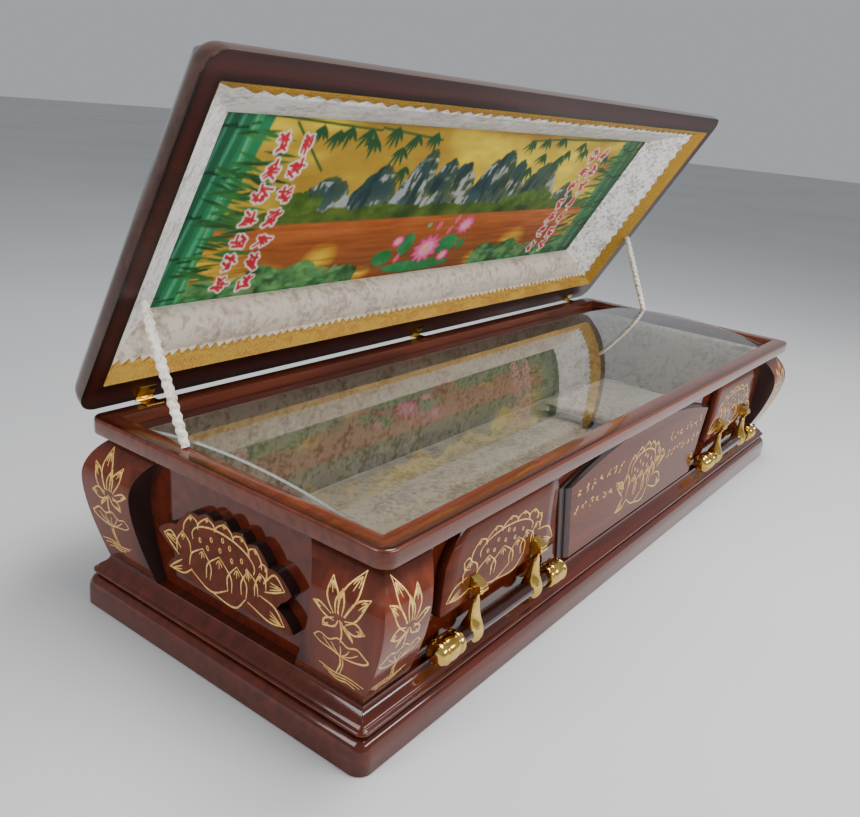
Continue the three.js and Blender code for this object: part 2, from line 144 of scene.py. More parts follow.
def rounded(x: float, y_low: float, y_high: float, radius: float, z: float, steps: int = 8) -> list[Point]:
    """Makes a level rectangle with round corners.

    Args:
        x: half its length.
        y_low: its front edge.
        y_high: its back edge.
        radius: the corner radius.
        z: its level.
        steps: pieces in each corner.

    Returns:
        The loop of points.
    """
    loop = []
    for cx, cy, quarter in ((x, y_high, 0), (-x, y_high, 1), (-x, y_low, 2), (x, y_low, 3)):
        ox = cx - math.copysign(radius, cx)
        oy = cy - radius if cy == y_high else cy + radius
        for i in range(steps + 1):
            turn = (quarter + i / steps) * math.pi / 2
            loop.append((ox + radius * math.cos(turn), oy + radius * math.sin(turn), z))
    return loop


def inset(x: float, y: float, radius: float, by: float, z: float, steps: int = 8) -> list[Point]:
    """Makes the same rectangle drawn in by an inset on every side."""
    return rounded(x - by, by - y, y - by, max(radius - by, 1.2), z, steps)


def raised(points: Sequence[Point]) -> list[Point]:
    """Turns points of the shut lid to where they are on the open lid.

    Args:
        points: the points.

    Returns:
        The turned points.
    """
    c, s = math.cos(OPEN_ANGLE), math.sin(OPEN_ANGLE)
    return [(x, PIVOT_Y + (y - PIVOT_Y) * c - (z - PIVOT_Z) * s,
             PIVOT_Z + (y - PIVOT_Y) * s + (z - PIVOT_Z) * c)
            for x, y, z in points]


def ripple(x: float, y: float, scale: float, seed: float = 0.0) -> float:
    """Gives smooth repeatable unevenness from -1 to 1 at a place on a surface."""
    u, v = x / scale, y / scale
    return (math.sin(u * 1.7 + 2.1 * math.sin(v * 1.3 + seed))
            + math.sin(v * 2.3 + 1.7 * math.sin(u * 0.9 + seed * 2))
            + math.sin((u + v) * 3.1 + seed * 3 + 1.3 * math.sin(u * 2.2 - v))) / 3


class Sculpt:
    """Collects points and faces in millimetres and turns them into one mesh."""

    def __init__(self) -> None:
        """Starts empty."""
        self.points: list[Point] = []
        self.shade: list[float] = []
        self.faces: list[tuple[int, ...]] = []
        self.tones: list[int] = []

    def loft(self, loops: Sequence[Sequence[Point]], cyclic: bool = False, caps: bool = True,
             tone: int = 0, open_loop: bool = False, tones: Sequence[int] = (),
             shade: Callable[[Point], float] | None = None) -> "Sculpt":
        """Skins a row of loops that have as many points.

        Args:
            loops: the loops in order.
            cyclic: joins the last loop to the first.
            caps: closes the first and last loop.
            tone: material index of every face.
            open_loop: leaves each loop open.
            tones: material index of each face round the loop, instead of tone.
            shade: darkness from 0 to 1 at a point.

        Returns:
            This sculpt.
        """
        start, count = len(self.points), len(loops[0])
        for loop in loops:
            self.points.extend(loop)
            self.shade.extend(shade(p) if shade else 0.0 for p in loop)
        for k in range(len(loops) if cyclic else len(loops) - 1):
            a, b = start + k * count, start + ((k + 1) % len(loops)) * count
            for i in range(count - 1 if open_loop else count):
                j = (i + 1) % count
                self.faces.append((a + i, a + j, b + j, b + i))
                self.tones.append(tones[i] if tones else tone)
        if caps and not cyclic:
            last = start + (len(loops) - 1) * count
            self.faces.append(tuple(reversed(range(start, start + count))))
            self.faces.append(tuple(range(last, last + count)))
            self.tones.extend((tone, tone))
        return self

    def lathe(self, profile: Sequence[Flat], centre: Point, sides: int = 32, sign: int = 1,
              cyclic: bool = False,
              tone: int = 0) -> "Sculpt":
        """Turns a profile round a line along X.

        Args:
            profile: pairs of a distance along X and a radius.
            centre: the point that the distances start from.
            sides: facets round the line.
            sign: 1 runs the profile to +X and -1 to -X.
            cyclic: joins the last ring to the first.
            tone: material index of every face.

        Returns:
            This sculpt.
        """
        loops = []
        for along, radius in profile:
            radius = max(radius, 0.01)
            loops.append([(centre[0] + sign * along, centre[1] + radius * math.cos(2 * math.pi * i / sides),
                           centre[2] + radius * math.sin(2 * math.pi * i / sides)) for i in range(sides)])
        return self.loft(loops, cyclic=cyclic, tone=tone)

    def build(self, name: str, materials: Sequence[bpy.types.Material], sharp: float = 32,
              weld: float = 1e-6) -> bpy.types.Object:
        """Makes the object.

        Args:
            name: the piece's name.
            materials: one for each tone.
            sharp: edges that turn more than this many degrees stay crisp.
            weld: points closer than this, in metres, become one.

        Returns:
            The new object, linked to the scene.
        """
        mesh = bpy.data.meshes.new(name)
        mesh.from_pydata([(x / 1000, y / 1000, z / 1000) for x, y, z in self.points], [], self.faces)
        for material in materials:
            mesh.materials.append(material)
        mesh.polygons.foreach_set("material_index", self.tones)
        layer = mesh.attributes.new("shade", "FLOAT", "POINT")
        layer.data.foreach_set("value", self.shade)
        work = bmesh.new()
        work.from_mesh(mesh)
        bmesh.ops.remove_doubles(work, verts=work.verts, dist=weld)
        bmesh.ops.recalc_face_normals(work, faces=work.faces)
        work.to_mesh(mesh)
        work.free()
        mesh.shade_smooth()
        mesh.set_sharp_from_angle(angle=math.radians(sharp))
        made = bpy.data.objects.new(name, mesh)
        bpy.context.scene.collection.objects.link(made)
        return made


def place(piece: bpy.types.Object, body: str, slot: str, *nodes: str) -> bpy.types.Object:
    """Fixes a finished piece to its body.

    Args:
        piece: the piece.
        body: the body that it moves with.
        slot: the record's material slot; not used.
        nodes: the solids that it stands for.

    Returns:
        The piece.
    """
    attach(piece, body)
    if nodes:
        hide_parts(*nodes)
    log.info("%s: %d faces on %s", piece.name, len(piece.data.polygons), body)
    return piece


class Graph:
    """One material's node tree, filled with short calls."""

    def __init__(self, name: str) -> None:
        """Starts a material with its plain shader."""
        self.material = bpy.data.materials.new(name)
        self.material.use_nodes = True
        self.tree = self.material.node_tree
        self.shader = next(n for n in self.tree.nodes if n.type == "BSDF_PRINCIPLED")
        self.coordinates = self.node("ShaderNodeTexCoord").outputs["Object"]

    def node(self, kind: str, sockets: dict | None = None, **settings: object) -> bpy.types.Node:
        """Adds a node.

        Args:
            kind: its type.
            sockets: values or links of its inputs.
            settings: its own properties.

        Returns:
            The node.
        """
        made = self.tree.nodes.new(kind)
        for key, value in settings.items():
            setattr(made, key, value)
        for key, value in (sockets or {}).items():
            self.feed(made, key, value)
        return made

    def feed(self, node: bpy.types.Node, key: str | int, value: object) -> None:
        """Links a socket, or sets its plain value.

        Args:
            node: the node.
            key: the socket's name or number.
            value: another socket, or a value.
        """
        if isinstance(value, bpy.types.NodeSocket):
            self.tree.links.new(value, node.inputs[key])
        else:
            node.inputs[key].default_value = value

    def set(self, **values: object) -> "Graph":
        """Sets the shader's sockets.

        Args:
            values: values or links by socket name, with an underscore for each space.

        Returns:
            This graph.
        """
        for key, value in values.items():
            self.feed(self.shader, key.replace("_", " "), value)
        return self

    def noise(self, scale: float, detail: float = 3, stretch: Point = (1, 1, 1), distortion: float = 0,
              rough: float = 0.5) -> bpy.types.NodeSocket:
        """Gives a noise.

        Args:
            scale: how fine it is.
            detail: how many finer layers it has.
            stretch: scale along each axis.
            distortion: how far it swirls.
            rough: how strong the finer layers are.

        Returns:
            The socket with its value.
        """
        mapped = self.node("ShaderNodeMapping", {"Vector": self.coordinates, "Scale": stretch})
        made = self.node("ShaderNodeTexNoise", {"Vector": mapped.outputs[0], "Scale": scale, "Detail": detail,
                                                "Roughness": rough, "Distortion": distortion})
        return made.outputs["Fac"]

    def attribute(self, name: str, output: str = "Fac") -> bpy.types.NodeSocket:
        """Reads a value kept on the mesh."""
        return self.node("ShaderNodeAttribute", attribute_name=name).outputs[output]

    def ramp(self, factor: bpy.types.NodeSocket, *stops: tuple[float, tuple]) -> bpy.types.NodeSocket:
        """Turns a value into a colour.

        Args:
            factor: the value, from 0 to 1.
            stops: pairs of a place and the colour there.

        Returns:
            The socket with the colour.
        """
        made = self.node("ShaderNodeValToRGB", {"Fac": factor})
        while len(made.color_ramp.elements) < len(stops):
            made.color_ramp.elements.new(0.5)
        for element, (where, colour) in zip(made.color_ramp.elements, stops):
            element.position, element.color = where, colour
        return made.outputs["Color"]

    def math(self, operation: str, a: object, b: object = 0.0, clamp: bool = False) -> bpy.types.NodeSocket:
        """Works out one sum."""
        made = self.node("ShaderNodeMath", {0: a, 1: b}, operation=operation, use_clamp=clamp)
        return made.outputs[0]

    def mix(self, factor: object, a: object, b: object, kind: str = "MIX") -> bpy.types.NodeSocket:
        """Mixes two colours."""
        made = self.node("ShaderNodeMix", {0: factor, 6: a, 7: b}, data_type="RGBA", blend_type=kind)
        return made.outputs[2]

    def bump(self, height: bpy.types.NodeSocket, strength: float, distance: float) -> None:
        """Roughens the surface by a height."""
        made = self.node("ShaderNodeBump", {"Height": height, "Strength": strength, "Distance": distance})
        self.feed(self.shader, "Normal", made.outputs["Normal"])


@dataclass(frozen=True)
class Lacquer:
    """High gloss mahogany lacquer, darker where the mesh's shade says so."""

    name: str
    heart: tuple[float, float, float] = (84, 31, 17)
    edge: tuple[float, float, float] = (24, 8, 6)
    roughness: float = 0.09
    along: Point = (0.35, 5, 5)
    coat: float = 0.45
    index: float = 1.38

    def material(self) -> bpy.types.Material:
        """Makes the material."""
        g = Graph(self.name)
        grain = g.noise(9, 6, self.along, 0.6)
        fine = g.noise(60, 3, self.along)
        tone = g.ramp(grain, (0.3, tint(*[c * 0.82 for c in self.heart])),
                      (0.7, tint(*[c * 1.12 for c in self.heart])))
        dark = g.math("MULTIPLY_ADD", fine, 0.12, clamp=True)
        shade = g.math("ADD", g.attribute("shade"), g.math("MULTIPLY", dark, 0.1), clamp=True)
        colour = g.mix(shade, tone, tint(*self.edge))
        g.set(Base_Color=colour, Coat_Weight=self.coat, Coat_Roughness=0.03, Coat_IOR=self.index,
              IOR=self.index,
              Specular_IOR_Level=0.5)
        g.feed(g.shader, "Roughness", g.math("ADD", g.math("MULTIPLY", fine, 0.06), self.roughness))
        g.bump(g.noise(2.2, 2), 0.06, 0.004)
        return g.material


@dataclass(frozen=True)
class EdgeShade:
    """Near-black lacquer on the boards' cut edges, its dark colour painted shade for edges that sit in
    shadow.
    """

    name: str = "painted_edge_shade"

    def material(self) -> bpy.types.Material:
        """Makes the material."""
        g = Graph(self.name)
        grain = g.noise(30, 5, (1, 1, 0.2))
        g.set(Base_Color=g.ramp(grain, (0.35, tint(30, 11, 9)), (0.75, tint(54, 22, 16))), Coat_Weight=0.7,
              Coat_Roughness=0.08)
        g.feed(g.shader, "Roughness", g.math("MULTIPLY_ADD", grain, 0.2))
        g.bump(grain, 0.1, 0.001)
        return g.material


@dataclass(frozen=True)
class Brass:
    """Polished brass with faint polishing marks."""

    name: str = "polished_brass"

    def material(self) -> bpy.types.Material:
        """Makes the material."""
        g = Graph(self.name)
        wear = g.noise(45, 4)
        g.set(Base_Color=g.ramp(wear, (0.3, tint(196, 152, 66)), (0.75, tint(238, 206, 122))), Metallic=1.0)
        g.feed(g.shader, "Roughness", g.math("ADD", g.math("MULTIPLY", wear, 0.1), 0.1))
        g.bump(g.noise(120, 2), 0.05, 0.0006)
        return g.material


@dataclass(frozen=True)
class Gilding:
    """Gold paint in the engraved lines."""

    name: str = "gilding"

    def material(self) -> bpy.types.Material:
        """Makes the material."""
        g = Graph(self.name)
        flow = g.noise(180, 3)
        g.set(Base_Color=g.ramp(flow, (0.3, tint(204, 148, 62)), (0.7, tint(250, 212, 128))), Metallic=0.35)
        g.feed(g.shader, "Roughness", g.math("ADD", g.math("MULTIPLY", flow, 0.15), 0.3))
        g.bump(flow, 0.2, 0.0006)
        return g.material


@dataclass(frozen=True)
class CrushedVelvet:
    """Velvet whose pile lies in broken patches, pale against dark."""

    name: str
    pale: tuple[float, float, float]
    deep: tuple[float, float, float]
    patch: float = 22
    sheen: float = 0.6
    depth: float = 0.6

    def material(self) -> bpy.types.Material:
        """Makes the material."""
        g = Graph(self.name)
        patches = g.noise(self.patch, 5, (1, 1, 1), 0.35, 0.6)
        broad = g.noise(self.patch * 0.2, 3, (1, 1, 1), 0.6)
        both = g.math("ADD", g.math("MULTIPLY", patches, 0.62), g.math("MULTIPLY", broad, 0.38))
        middle = tuple(blend(a, b, 0.5) for a, b in zip(self.deep, self.pale))
        colour = g.ramp(both, (0.36, tint(*self.deep)), (0.45, tint(*middle)), (0.52, tint(*self.pale)))
        g.set(Base_Color=colour, Sheen_Weight=self.sheen, Sheen_Roughness=0.4, Specular_IOR_Level=0.3)
        g.feed(g.shader, "Roughness", g.math("ADD", g.math("MULTIPLY", patches, 0.3), 0.5))
        g.bump(g.math("ADD", g.math("MULTIPLY", patches, 0.8), g.math("MULTIPLY", g.noise(500, 2), 0.2)),
               self.depth, 0.002)
        return g.material


@dataclass(frozen=True)
class WovenGold:
    """Metallic thread woven across the braid."""

    name: str = "woven_gold"

    def material(self) -> bpy.types.Material:
        """Makes the material."""
        g = Graph(self.name)
        mapped = g.node("ShaderNodeMapping", {"Vector": g.coordinates, "Scale": (1, 1, 1),
                                              "Rotation": (0.5, 0.4, 0.78)})
        one = g.node("ShaderNodeTexWave", {"Vector": mapped.outputs[0], "Scale": 190, "Distortion": 2.5,
                                           "Detail": 2},
                     bands_direction="X").outputs["Fac"]
        two = g.node("ShaderNodeTexWave", {"Vector": mapped.outputs[0], "Scale": 190, "Distortion": 2.5,
                                           "Detail": 2},
                     bands_direction="Y").outputs["Fac"]
        weave = g.math("MULTIPLY", one, two)
        thread = g.math("ADD", g.math("MULTIPLY", weave, 0.6), g.math("MULTIPLY", g.noise(320, 3), 0.5))
        g.set(Base_Color=g.ramp(thread, (0.2, tint(122, 78, 14)), (0.45, tint(210, 156, 44)),
                                (0.75, tint(252, 212, 92))),
              Metallic=0.45)
        g.feed(g.shader, "Roughness", g.math("ADD", g.math("MULTIPLY", weave, 0.2), 0.35))
        g.bump(thread, 0.7, 0.0016)
        return g.material


@dataclass(frozen=True)
class ClearGlass:
    """Clear sheet glass."""

    name: str = "clear_glass"

    def material(self) -> bpy.types.Material:
        """Makes the material."""
        g = Graph(self.name)
        g.set(Base_Color=(0.96, 0.985, 0.975, 1), Roughness=0.0, IOR=1.5, Transmission_Weight=1.0)
        g.bump(g.noise(1.5, 1), 0.03, 0.002)
        return g.material


@dataclass(frozen=True)
class PaleGlassEdge:
    """Pale opaque colour on the edge of the sheet glass."""

    name: str = "pale_glass_edge"

    def material(self) -> bpy.types.Material:
        """Makes the material."""
        g = Graph(self.name)
        grain = g.noise(260, 2)
        g.set(Base_Color=g.ramp(grain, (0.3, tint(186, 200, 196)), (0.7, tint(214, 224, 221))),
              Roughness=0.35)
        return g.material


@dataclass(frozen=True)
class PrintedCloth:
    """Printed cloth whose colours are kept on the mesh."""

    name: str = "printed_cloth"

    def material(self) -> bpy.types.Material:
        """Makes the material."""
        g = Graph(self.name)
        weave = g.noise(700, 2)
        colour = g.mix(g.math("MULTIPLY", weave, 0.16), g.attribute("print", "Color"), (0.02, 0.02, 0.01, 1))
        g.set(Base_Color=colour, Specular_IOR_Level=0.3)
        g.feed(g.shader, "Roughness", g.math("ADD", g.math("MULTIPLY", weave, 0.2), 0.42))
        g.bump(weave, 0.15, 0.0008)
        return g.material


Finish = (Lacquer | EdgeShade | Brass | Gilding | CrushedVelvet | WovenGold | ClearGlass | PaleGlassEdge
          | PrintedCloth)


def made(finish: Finish) -> bpy.types.Material:
    """Has one finish's material made when the set of finishes is made."""
    return field(default_factory=finish.material)


@dataclass
class Finishes:
    """Every material of the coffin, made once."""

    plinth: bpy.types.Material = made(Lacquer("plinth_lacquer"))
    wall: bpy.types.Material = made(Lacquer("wall_lacquer", (86, 31, 16), (24, 8, 6), roughness=0.05))
    rim: bpy.types.Material = made(Lacquer("rim_lacquer", (98, 46, 30), (28, 10, 6), 0.12))
    post: bpy.types.Material = made(Lacquer("post_lacquer", (104, 46, 29), (32, 15, 11), along=(4, 4, 0.4),
                                            coat=0.4, index=1.3))
    panel: bpy.types.Material = made(Lacquer("panel_lacquer", (92, 38, 21), (28, 12, 9), 0.1, coat=0.25,
                                             index=1.2))
    lid: bpy.types.Material = made(Lacquer("lid_lacquer", (66, 24, 16), (18, 7, 5)))
    # The band colour is grey-brown as a painted sheen: the reflection on the lid's side band.
    band: bpy.types.Material = made(Lacquer("band_painted_sheen", (84, 58, 48), (40, 22, 18), 0.2))
    flange: bpy.types.Material = made(Lacquer("flange_lacquer", (70, 22, 15), (14, 6, 5), 0.3, coat=0.12))
    bar: bpy.types.Material = made(Lacquer("bar_lacquer", (44, 17, 13), (14, 6, 5), 0.06, coat=0.8))
    # Near-black edge colour: painted shade on the boards' cut edges.
    edge_shade: bpy.types.Material = made(EdgeShade())
    brass: bpy.types.Material = made(Brass())
    gilding: bpy.types.Material = made(Gilding())
    glass: bpy.types.Material = made(ClearGlass())
    glass_edge: bpy.types.Material = made(PaleGlassEdge())
    bed: bpy.types.Material = made(CrushedVelvet("bed_velvet", (182, 168, 148), (122, 106, 87), 75))
    lid_velvet: bpy.types.Material = made(CrushedVelvet("lid_velvet", (255, 253, 250), (172, 160, 148), 95,
                                                        sheen=0.8, depth=0.8))
    roll: bpy.types.Material = made(CrushedVelvet("roll_velvet", (226, 212, 194), (172, 154, 136), 60))
    stay: bpy.types.Material = made(CrushedVelvet("stay_velvet", (250, 243, 230), (190, 172, 146), 170))
    braid: bpy.types.Material = made(WovenGold())
    cloth: bpy.types.Material = made(PrintedCloth())


def petal(tip: Flat, left: Flat, right: Flat, belly: float) -> list[Stroke]:
    """Draws one pointed petal and the fan of short lines at its tip.

    Args:
        tip: its point.
        left: where its left edge starts.
        right: where its right edge starts.
        belly: how far its edges bow outward.

    Returns:
        Its strokes, each a line of points and a width.
    """
    t, a, b = (np.array(p, float) for p in (tip, left, right))
    base = (a + b) / 2
    up = t - base
    across = (b - a) / max(np.linalg.norm(b - a), 1e-6)
    left_mid = a + (t - a) * 0.52 - across * belly
    right_mid = b + (t - b) * 0.52 + across * belly
    strokes = [([tuple(a), tuple(left_mid), tuple(t)], 1.7), ([tuple(b), tuple(right_mid), tuple(t)], 1.7)]
    for k in (-1, 0, 1):
        start = t - up * 0.12
        stop = t - up * (0.42 - 0.1 * abs(k)) + across * k * belly * 0.55
        strokes.append(([tuple(start), tuple((start + stop) / 2 + across * k), tuple(stop)], 1.2))
    return strokes


def ring(centre: Flat, radius_x: float, radius_y: float, lean: float = 0.0, start: float = 0,
         end: float = 360,
         width: float = 1.5) -> Stroke:
    """Draws an oval, or an arc of one.

    Args:
        centre: its middle.
        radius_x: half its width.
        radius_y: half its height.
        lean: how far it is turned, in radians.
        start: where the arc starts, in degrees.
        end: where the arc ends, in degrees.
        width: the line's width.

    Returns:
        The stroke.
    """
    points = []
    for i in range(13):
        a = math.radians(blend(start, end, i / 12))
        x, y = radius_x * math.cos(a), radius_y * math.sin(a)
        points.append((centre[0] + x * math.cos(lean) - y * math.sin(lean),
                       centre[1] + x * math.sin(lean) + y * math.cos(lean)))
    return points, width


def wide_lotus(drooping: bool = False) -> list[Stroke]:
    """Draws the low, wide lotus: a seed pod among petals over broad leaves, about 320 by 150 mm.

    Args:
        drooping: hangs the outer leaves lower, as on the lotus boards.

    Returns:
        Its strokes.
    """
    strokes: list[Stroke] = [ring((-2, 22), 80, 34, -0.06, -12, 196, 2.0)]
    for x, y in ((-60, 22), (-31, 34), (-40, 14), (-8, 22), (16, 36), (22, 14), (46, 24), (-2, 44), (60, 10)):
        strokes.append(ring((x, y), 2.6, 4.2, 0.2, width=1.3))
    fans = [
        ((-86, 62), (-106, 24), (-66, 40), 7), ((-43, 72), (-70, 42), (-22, 52), 6),
        ((1, 76), (-24, 52), (24, 54), 6), ((44, 69), (22, 54), (64, 40), 6),
        ((78, 60), (60, 42), (94, 28), 6), ((106, 36), (88, 30), (100, 6), 6),
        ((-108, 22), (-122, -22), (-84, -14), 8), ((-53, 8), (-88, -38), (-32, -46), 12),
        ((-10, 9), (-42, -46), (24, -48), 14), ((34, 8), (14, -48), (60, -42), 12),
        ((62, 12), (48, -40), (88, -26), 9), ((90, 20), (80, -28), (106, -6), 7),
    ]
    for tip, left, right, belly in fans:
        strokes.extend(petal(tip, left, right, belly))
    leaves = [
        ([(-112, -14), (-138, 10), (-159, 0)], [(-159, 0), (-134, -18), (-116, -30)]),
        ([(-108, -36), (-126, -50), (-142, -64)], [(-142, -64), (-104, -62), (-80, -44)]),
        ([(100, 4), (124, 30), (149, 10)], [(149, 10), (126, -2), (104, -10)]),
        ([(92, -22), (128, -30), (152, -56)], [(152, -56), (116, -62), (64, -48)]),
        ([(-84, -46), (-30, -68), (14, -48)], [(60, -44), (30, -74), (-36, -66)]),
    ]
    tips = (((-159, 0), 1), ((-142, -64), 1), ((149, 10), -1), ((152, -56), -1))
    if drooping:
        leaves = [
            ([(-112, -14), (-142, -22), (-161, -49)], [(-161, -49), (-128, -54), (-96, -44)]),
            ([(-100, 14), (-112, 31), (-125, 26)], [(-125, 26), (-120, 8), (-106, 2)]),
            ([(100, -4), (138, -14), (160, -51)], [(160, -51), (128, -58), (92, -44)]),
            leaves[-1],
        ]
        tips = (((-161, -49), 1), ((160, -51), -1))
    for one, two in leaves:
        strokes.extend([(list(one), 1.9), (list(two), 1.9)])
    for tip, way in tips:
        for k in (-1, 0, 1):
            reach = (tip[0] + way * 34, tip[1] + k * 7 + (8 if tip[1] < -30 else -4))
            strokes.append(([(tip[0] + way * 8, tip[1] + k), reach], 1.3))
    return strokes


def standing_lotus() -> list[Stroke]:
    """Draws the flower of the corner posts: tall petals, a wavy leaf on a stem and ripples, 110 by 190 mm."""
    strokes: list[Stroke] = []
    fans = [
        ((-30, 70), (-14, 18), (-4, 20), 8), ((19, 92), (-6, 22), (8, 20), 10),
        ((-5, 60), (-10, 20), (2, 20), 5), ((-54, 24), (-18, 16), (-12, 6), 7),
        ((46, 62), (6, 20), (10, 8), 9), ((-34, -12), (-12, 12), (-4, 10), 8),
        ((47, 8), (8, 14), (6, 4), 8), ((24, -16), (2, 10), (8, 6), 6),
    ]
    for tip, left, right, belly in fans:
        strokes.extend(petal(tip, left, right, belly))
    wave = [(-53, -38), (-40, -28), (-22, -32), (-4, -22), (14, -30), (32, -24), (46, -32), (53, -38),
            (44, -46),
            (24, -52), (4, -54), (-18, -50), (-40, -46), (-53, -38)]
    strokes.append((wave, 1.8))
    for x in (-38, -20, 0, 20, 38):
        strokes.append(([(x * 0.9, -34), (x * 0.5, -46), (-2, -54)], 1.1))
    strokes.append(([(-1, 12), (3, -8), (0, -28)], 1.8))
    strokes.append(([(-2, -54), (-2, -70), (-12, -92)], 2.0))
    strokes.append(([(3, -54), (3, -70), (-6, -92)], 1.2))
    for y, reach in ((-88, 42), (-94, 34), (-100, 24)):
        strokes.append(([(-reach - 4, y), (-reach * 0.4, y - 5), (reach * 0.3, y - 2), (reach, y - 6)], 1.5))
    return strokes


def written_rows(seed: int, columns: int, rows: int, pitch: Flat) -> list[Stroke]:
    """Fills rows with clusters of short strokes that stand for writing and are no letters.

    Args:
        seed: picks the pattern.
        columns: clusters in a row.
        rows: how many rows.
        pitch: distance between clusters and between rows.

    Returns:
        The strokes, round the block's middle.
    """
    pick = np.random.default_rng(seed)
    strokes: list[Stroke] = []
    for r in range(rows):
        for c in range(columns):
            x, y = (c - (columns - 1) / 2) * pitch[0], ((rows - 1) / 2 - r) * pitch[1]
            for _ in range(5):
                dx, dy = pick.uniform(-9, 9), pick.uniform(-10, 10)
                a, reach = pick.choice([0.15, 0.6, 1.3, 2.2]) + pick.uniform(-0.15, 0.15), pick.uniform(4, 9)
                ex, ey = math.cos(a) * reach, math.sin(a) * reach
                strokes.append(([(x + dx - ex / 2, y + dy - ey / 2), (x + dx, y + dy + 0.8),
                                 (x + dx + ex / 2, y + dy + ey / 2)], 2.0))
    return strokes


def engrave(name: str, strokes: Sequence[Stroke], lay: Callable[[float, float, float], Point],
            material: bpy.types.Material, raise_by: float = 0.45) -> bpy.types.Object:
    """Lays gilt lines on a surface, each a thin ridge that tapers at both ends.

    Args:
        name: the piece's name.
        strokes: the lines, in millimetres on the drawing.
        lay: turns a place on the drawing and a height into a point.
        material: the gilding.
        raise_by: how far the middle of a line stands off.

    Returns:
        The piece.
    """
    form = Sculpt()
    for points, width in strokes:
        line = [np.array(p) for p in curve_through(points, 5 if len(points) > 4 else 8)]
        loops = []
        for i, p in enumerate(line):
            ahead, behind = line[min(i + 1, len(line) - 1)], line[max(i - 1, 0)]
            way = (ahead - behind) / max(np.linalg.norm(ahead - behind), 1e-9)
            normal = np.array((-way[1], way[0]))
            t = i / (len(line) - 1)
            half = width * (0.45 + 0.55 * math.sin(math.pi * min(max(t, 0.08), 0.92))) * 0.92
            loops.append([lay(*(p + normal * half), 0.02), lay(*p, raise_by),
                          lay(*(p - normal * half), 0.02)])
        form.loft(loops, caps=False, open_loop=True)
    return form.build(name, [material], sharp=80, weld=1e-8)


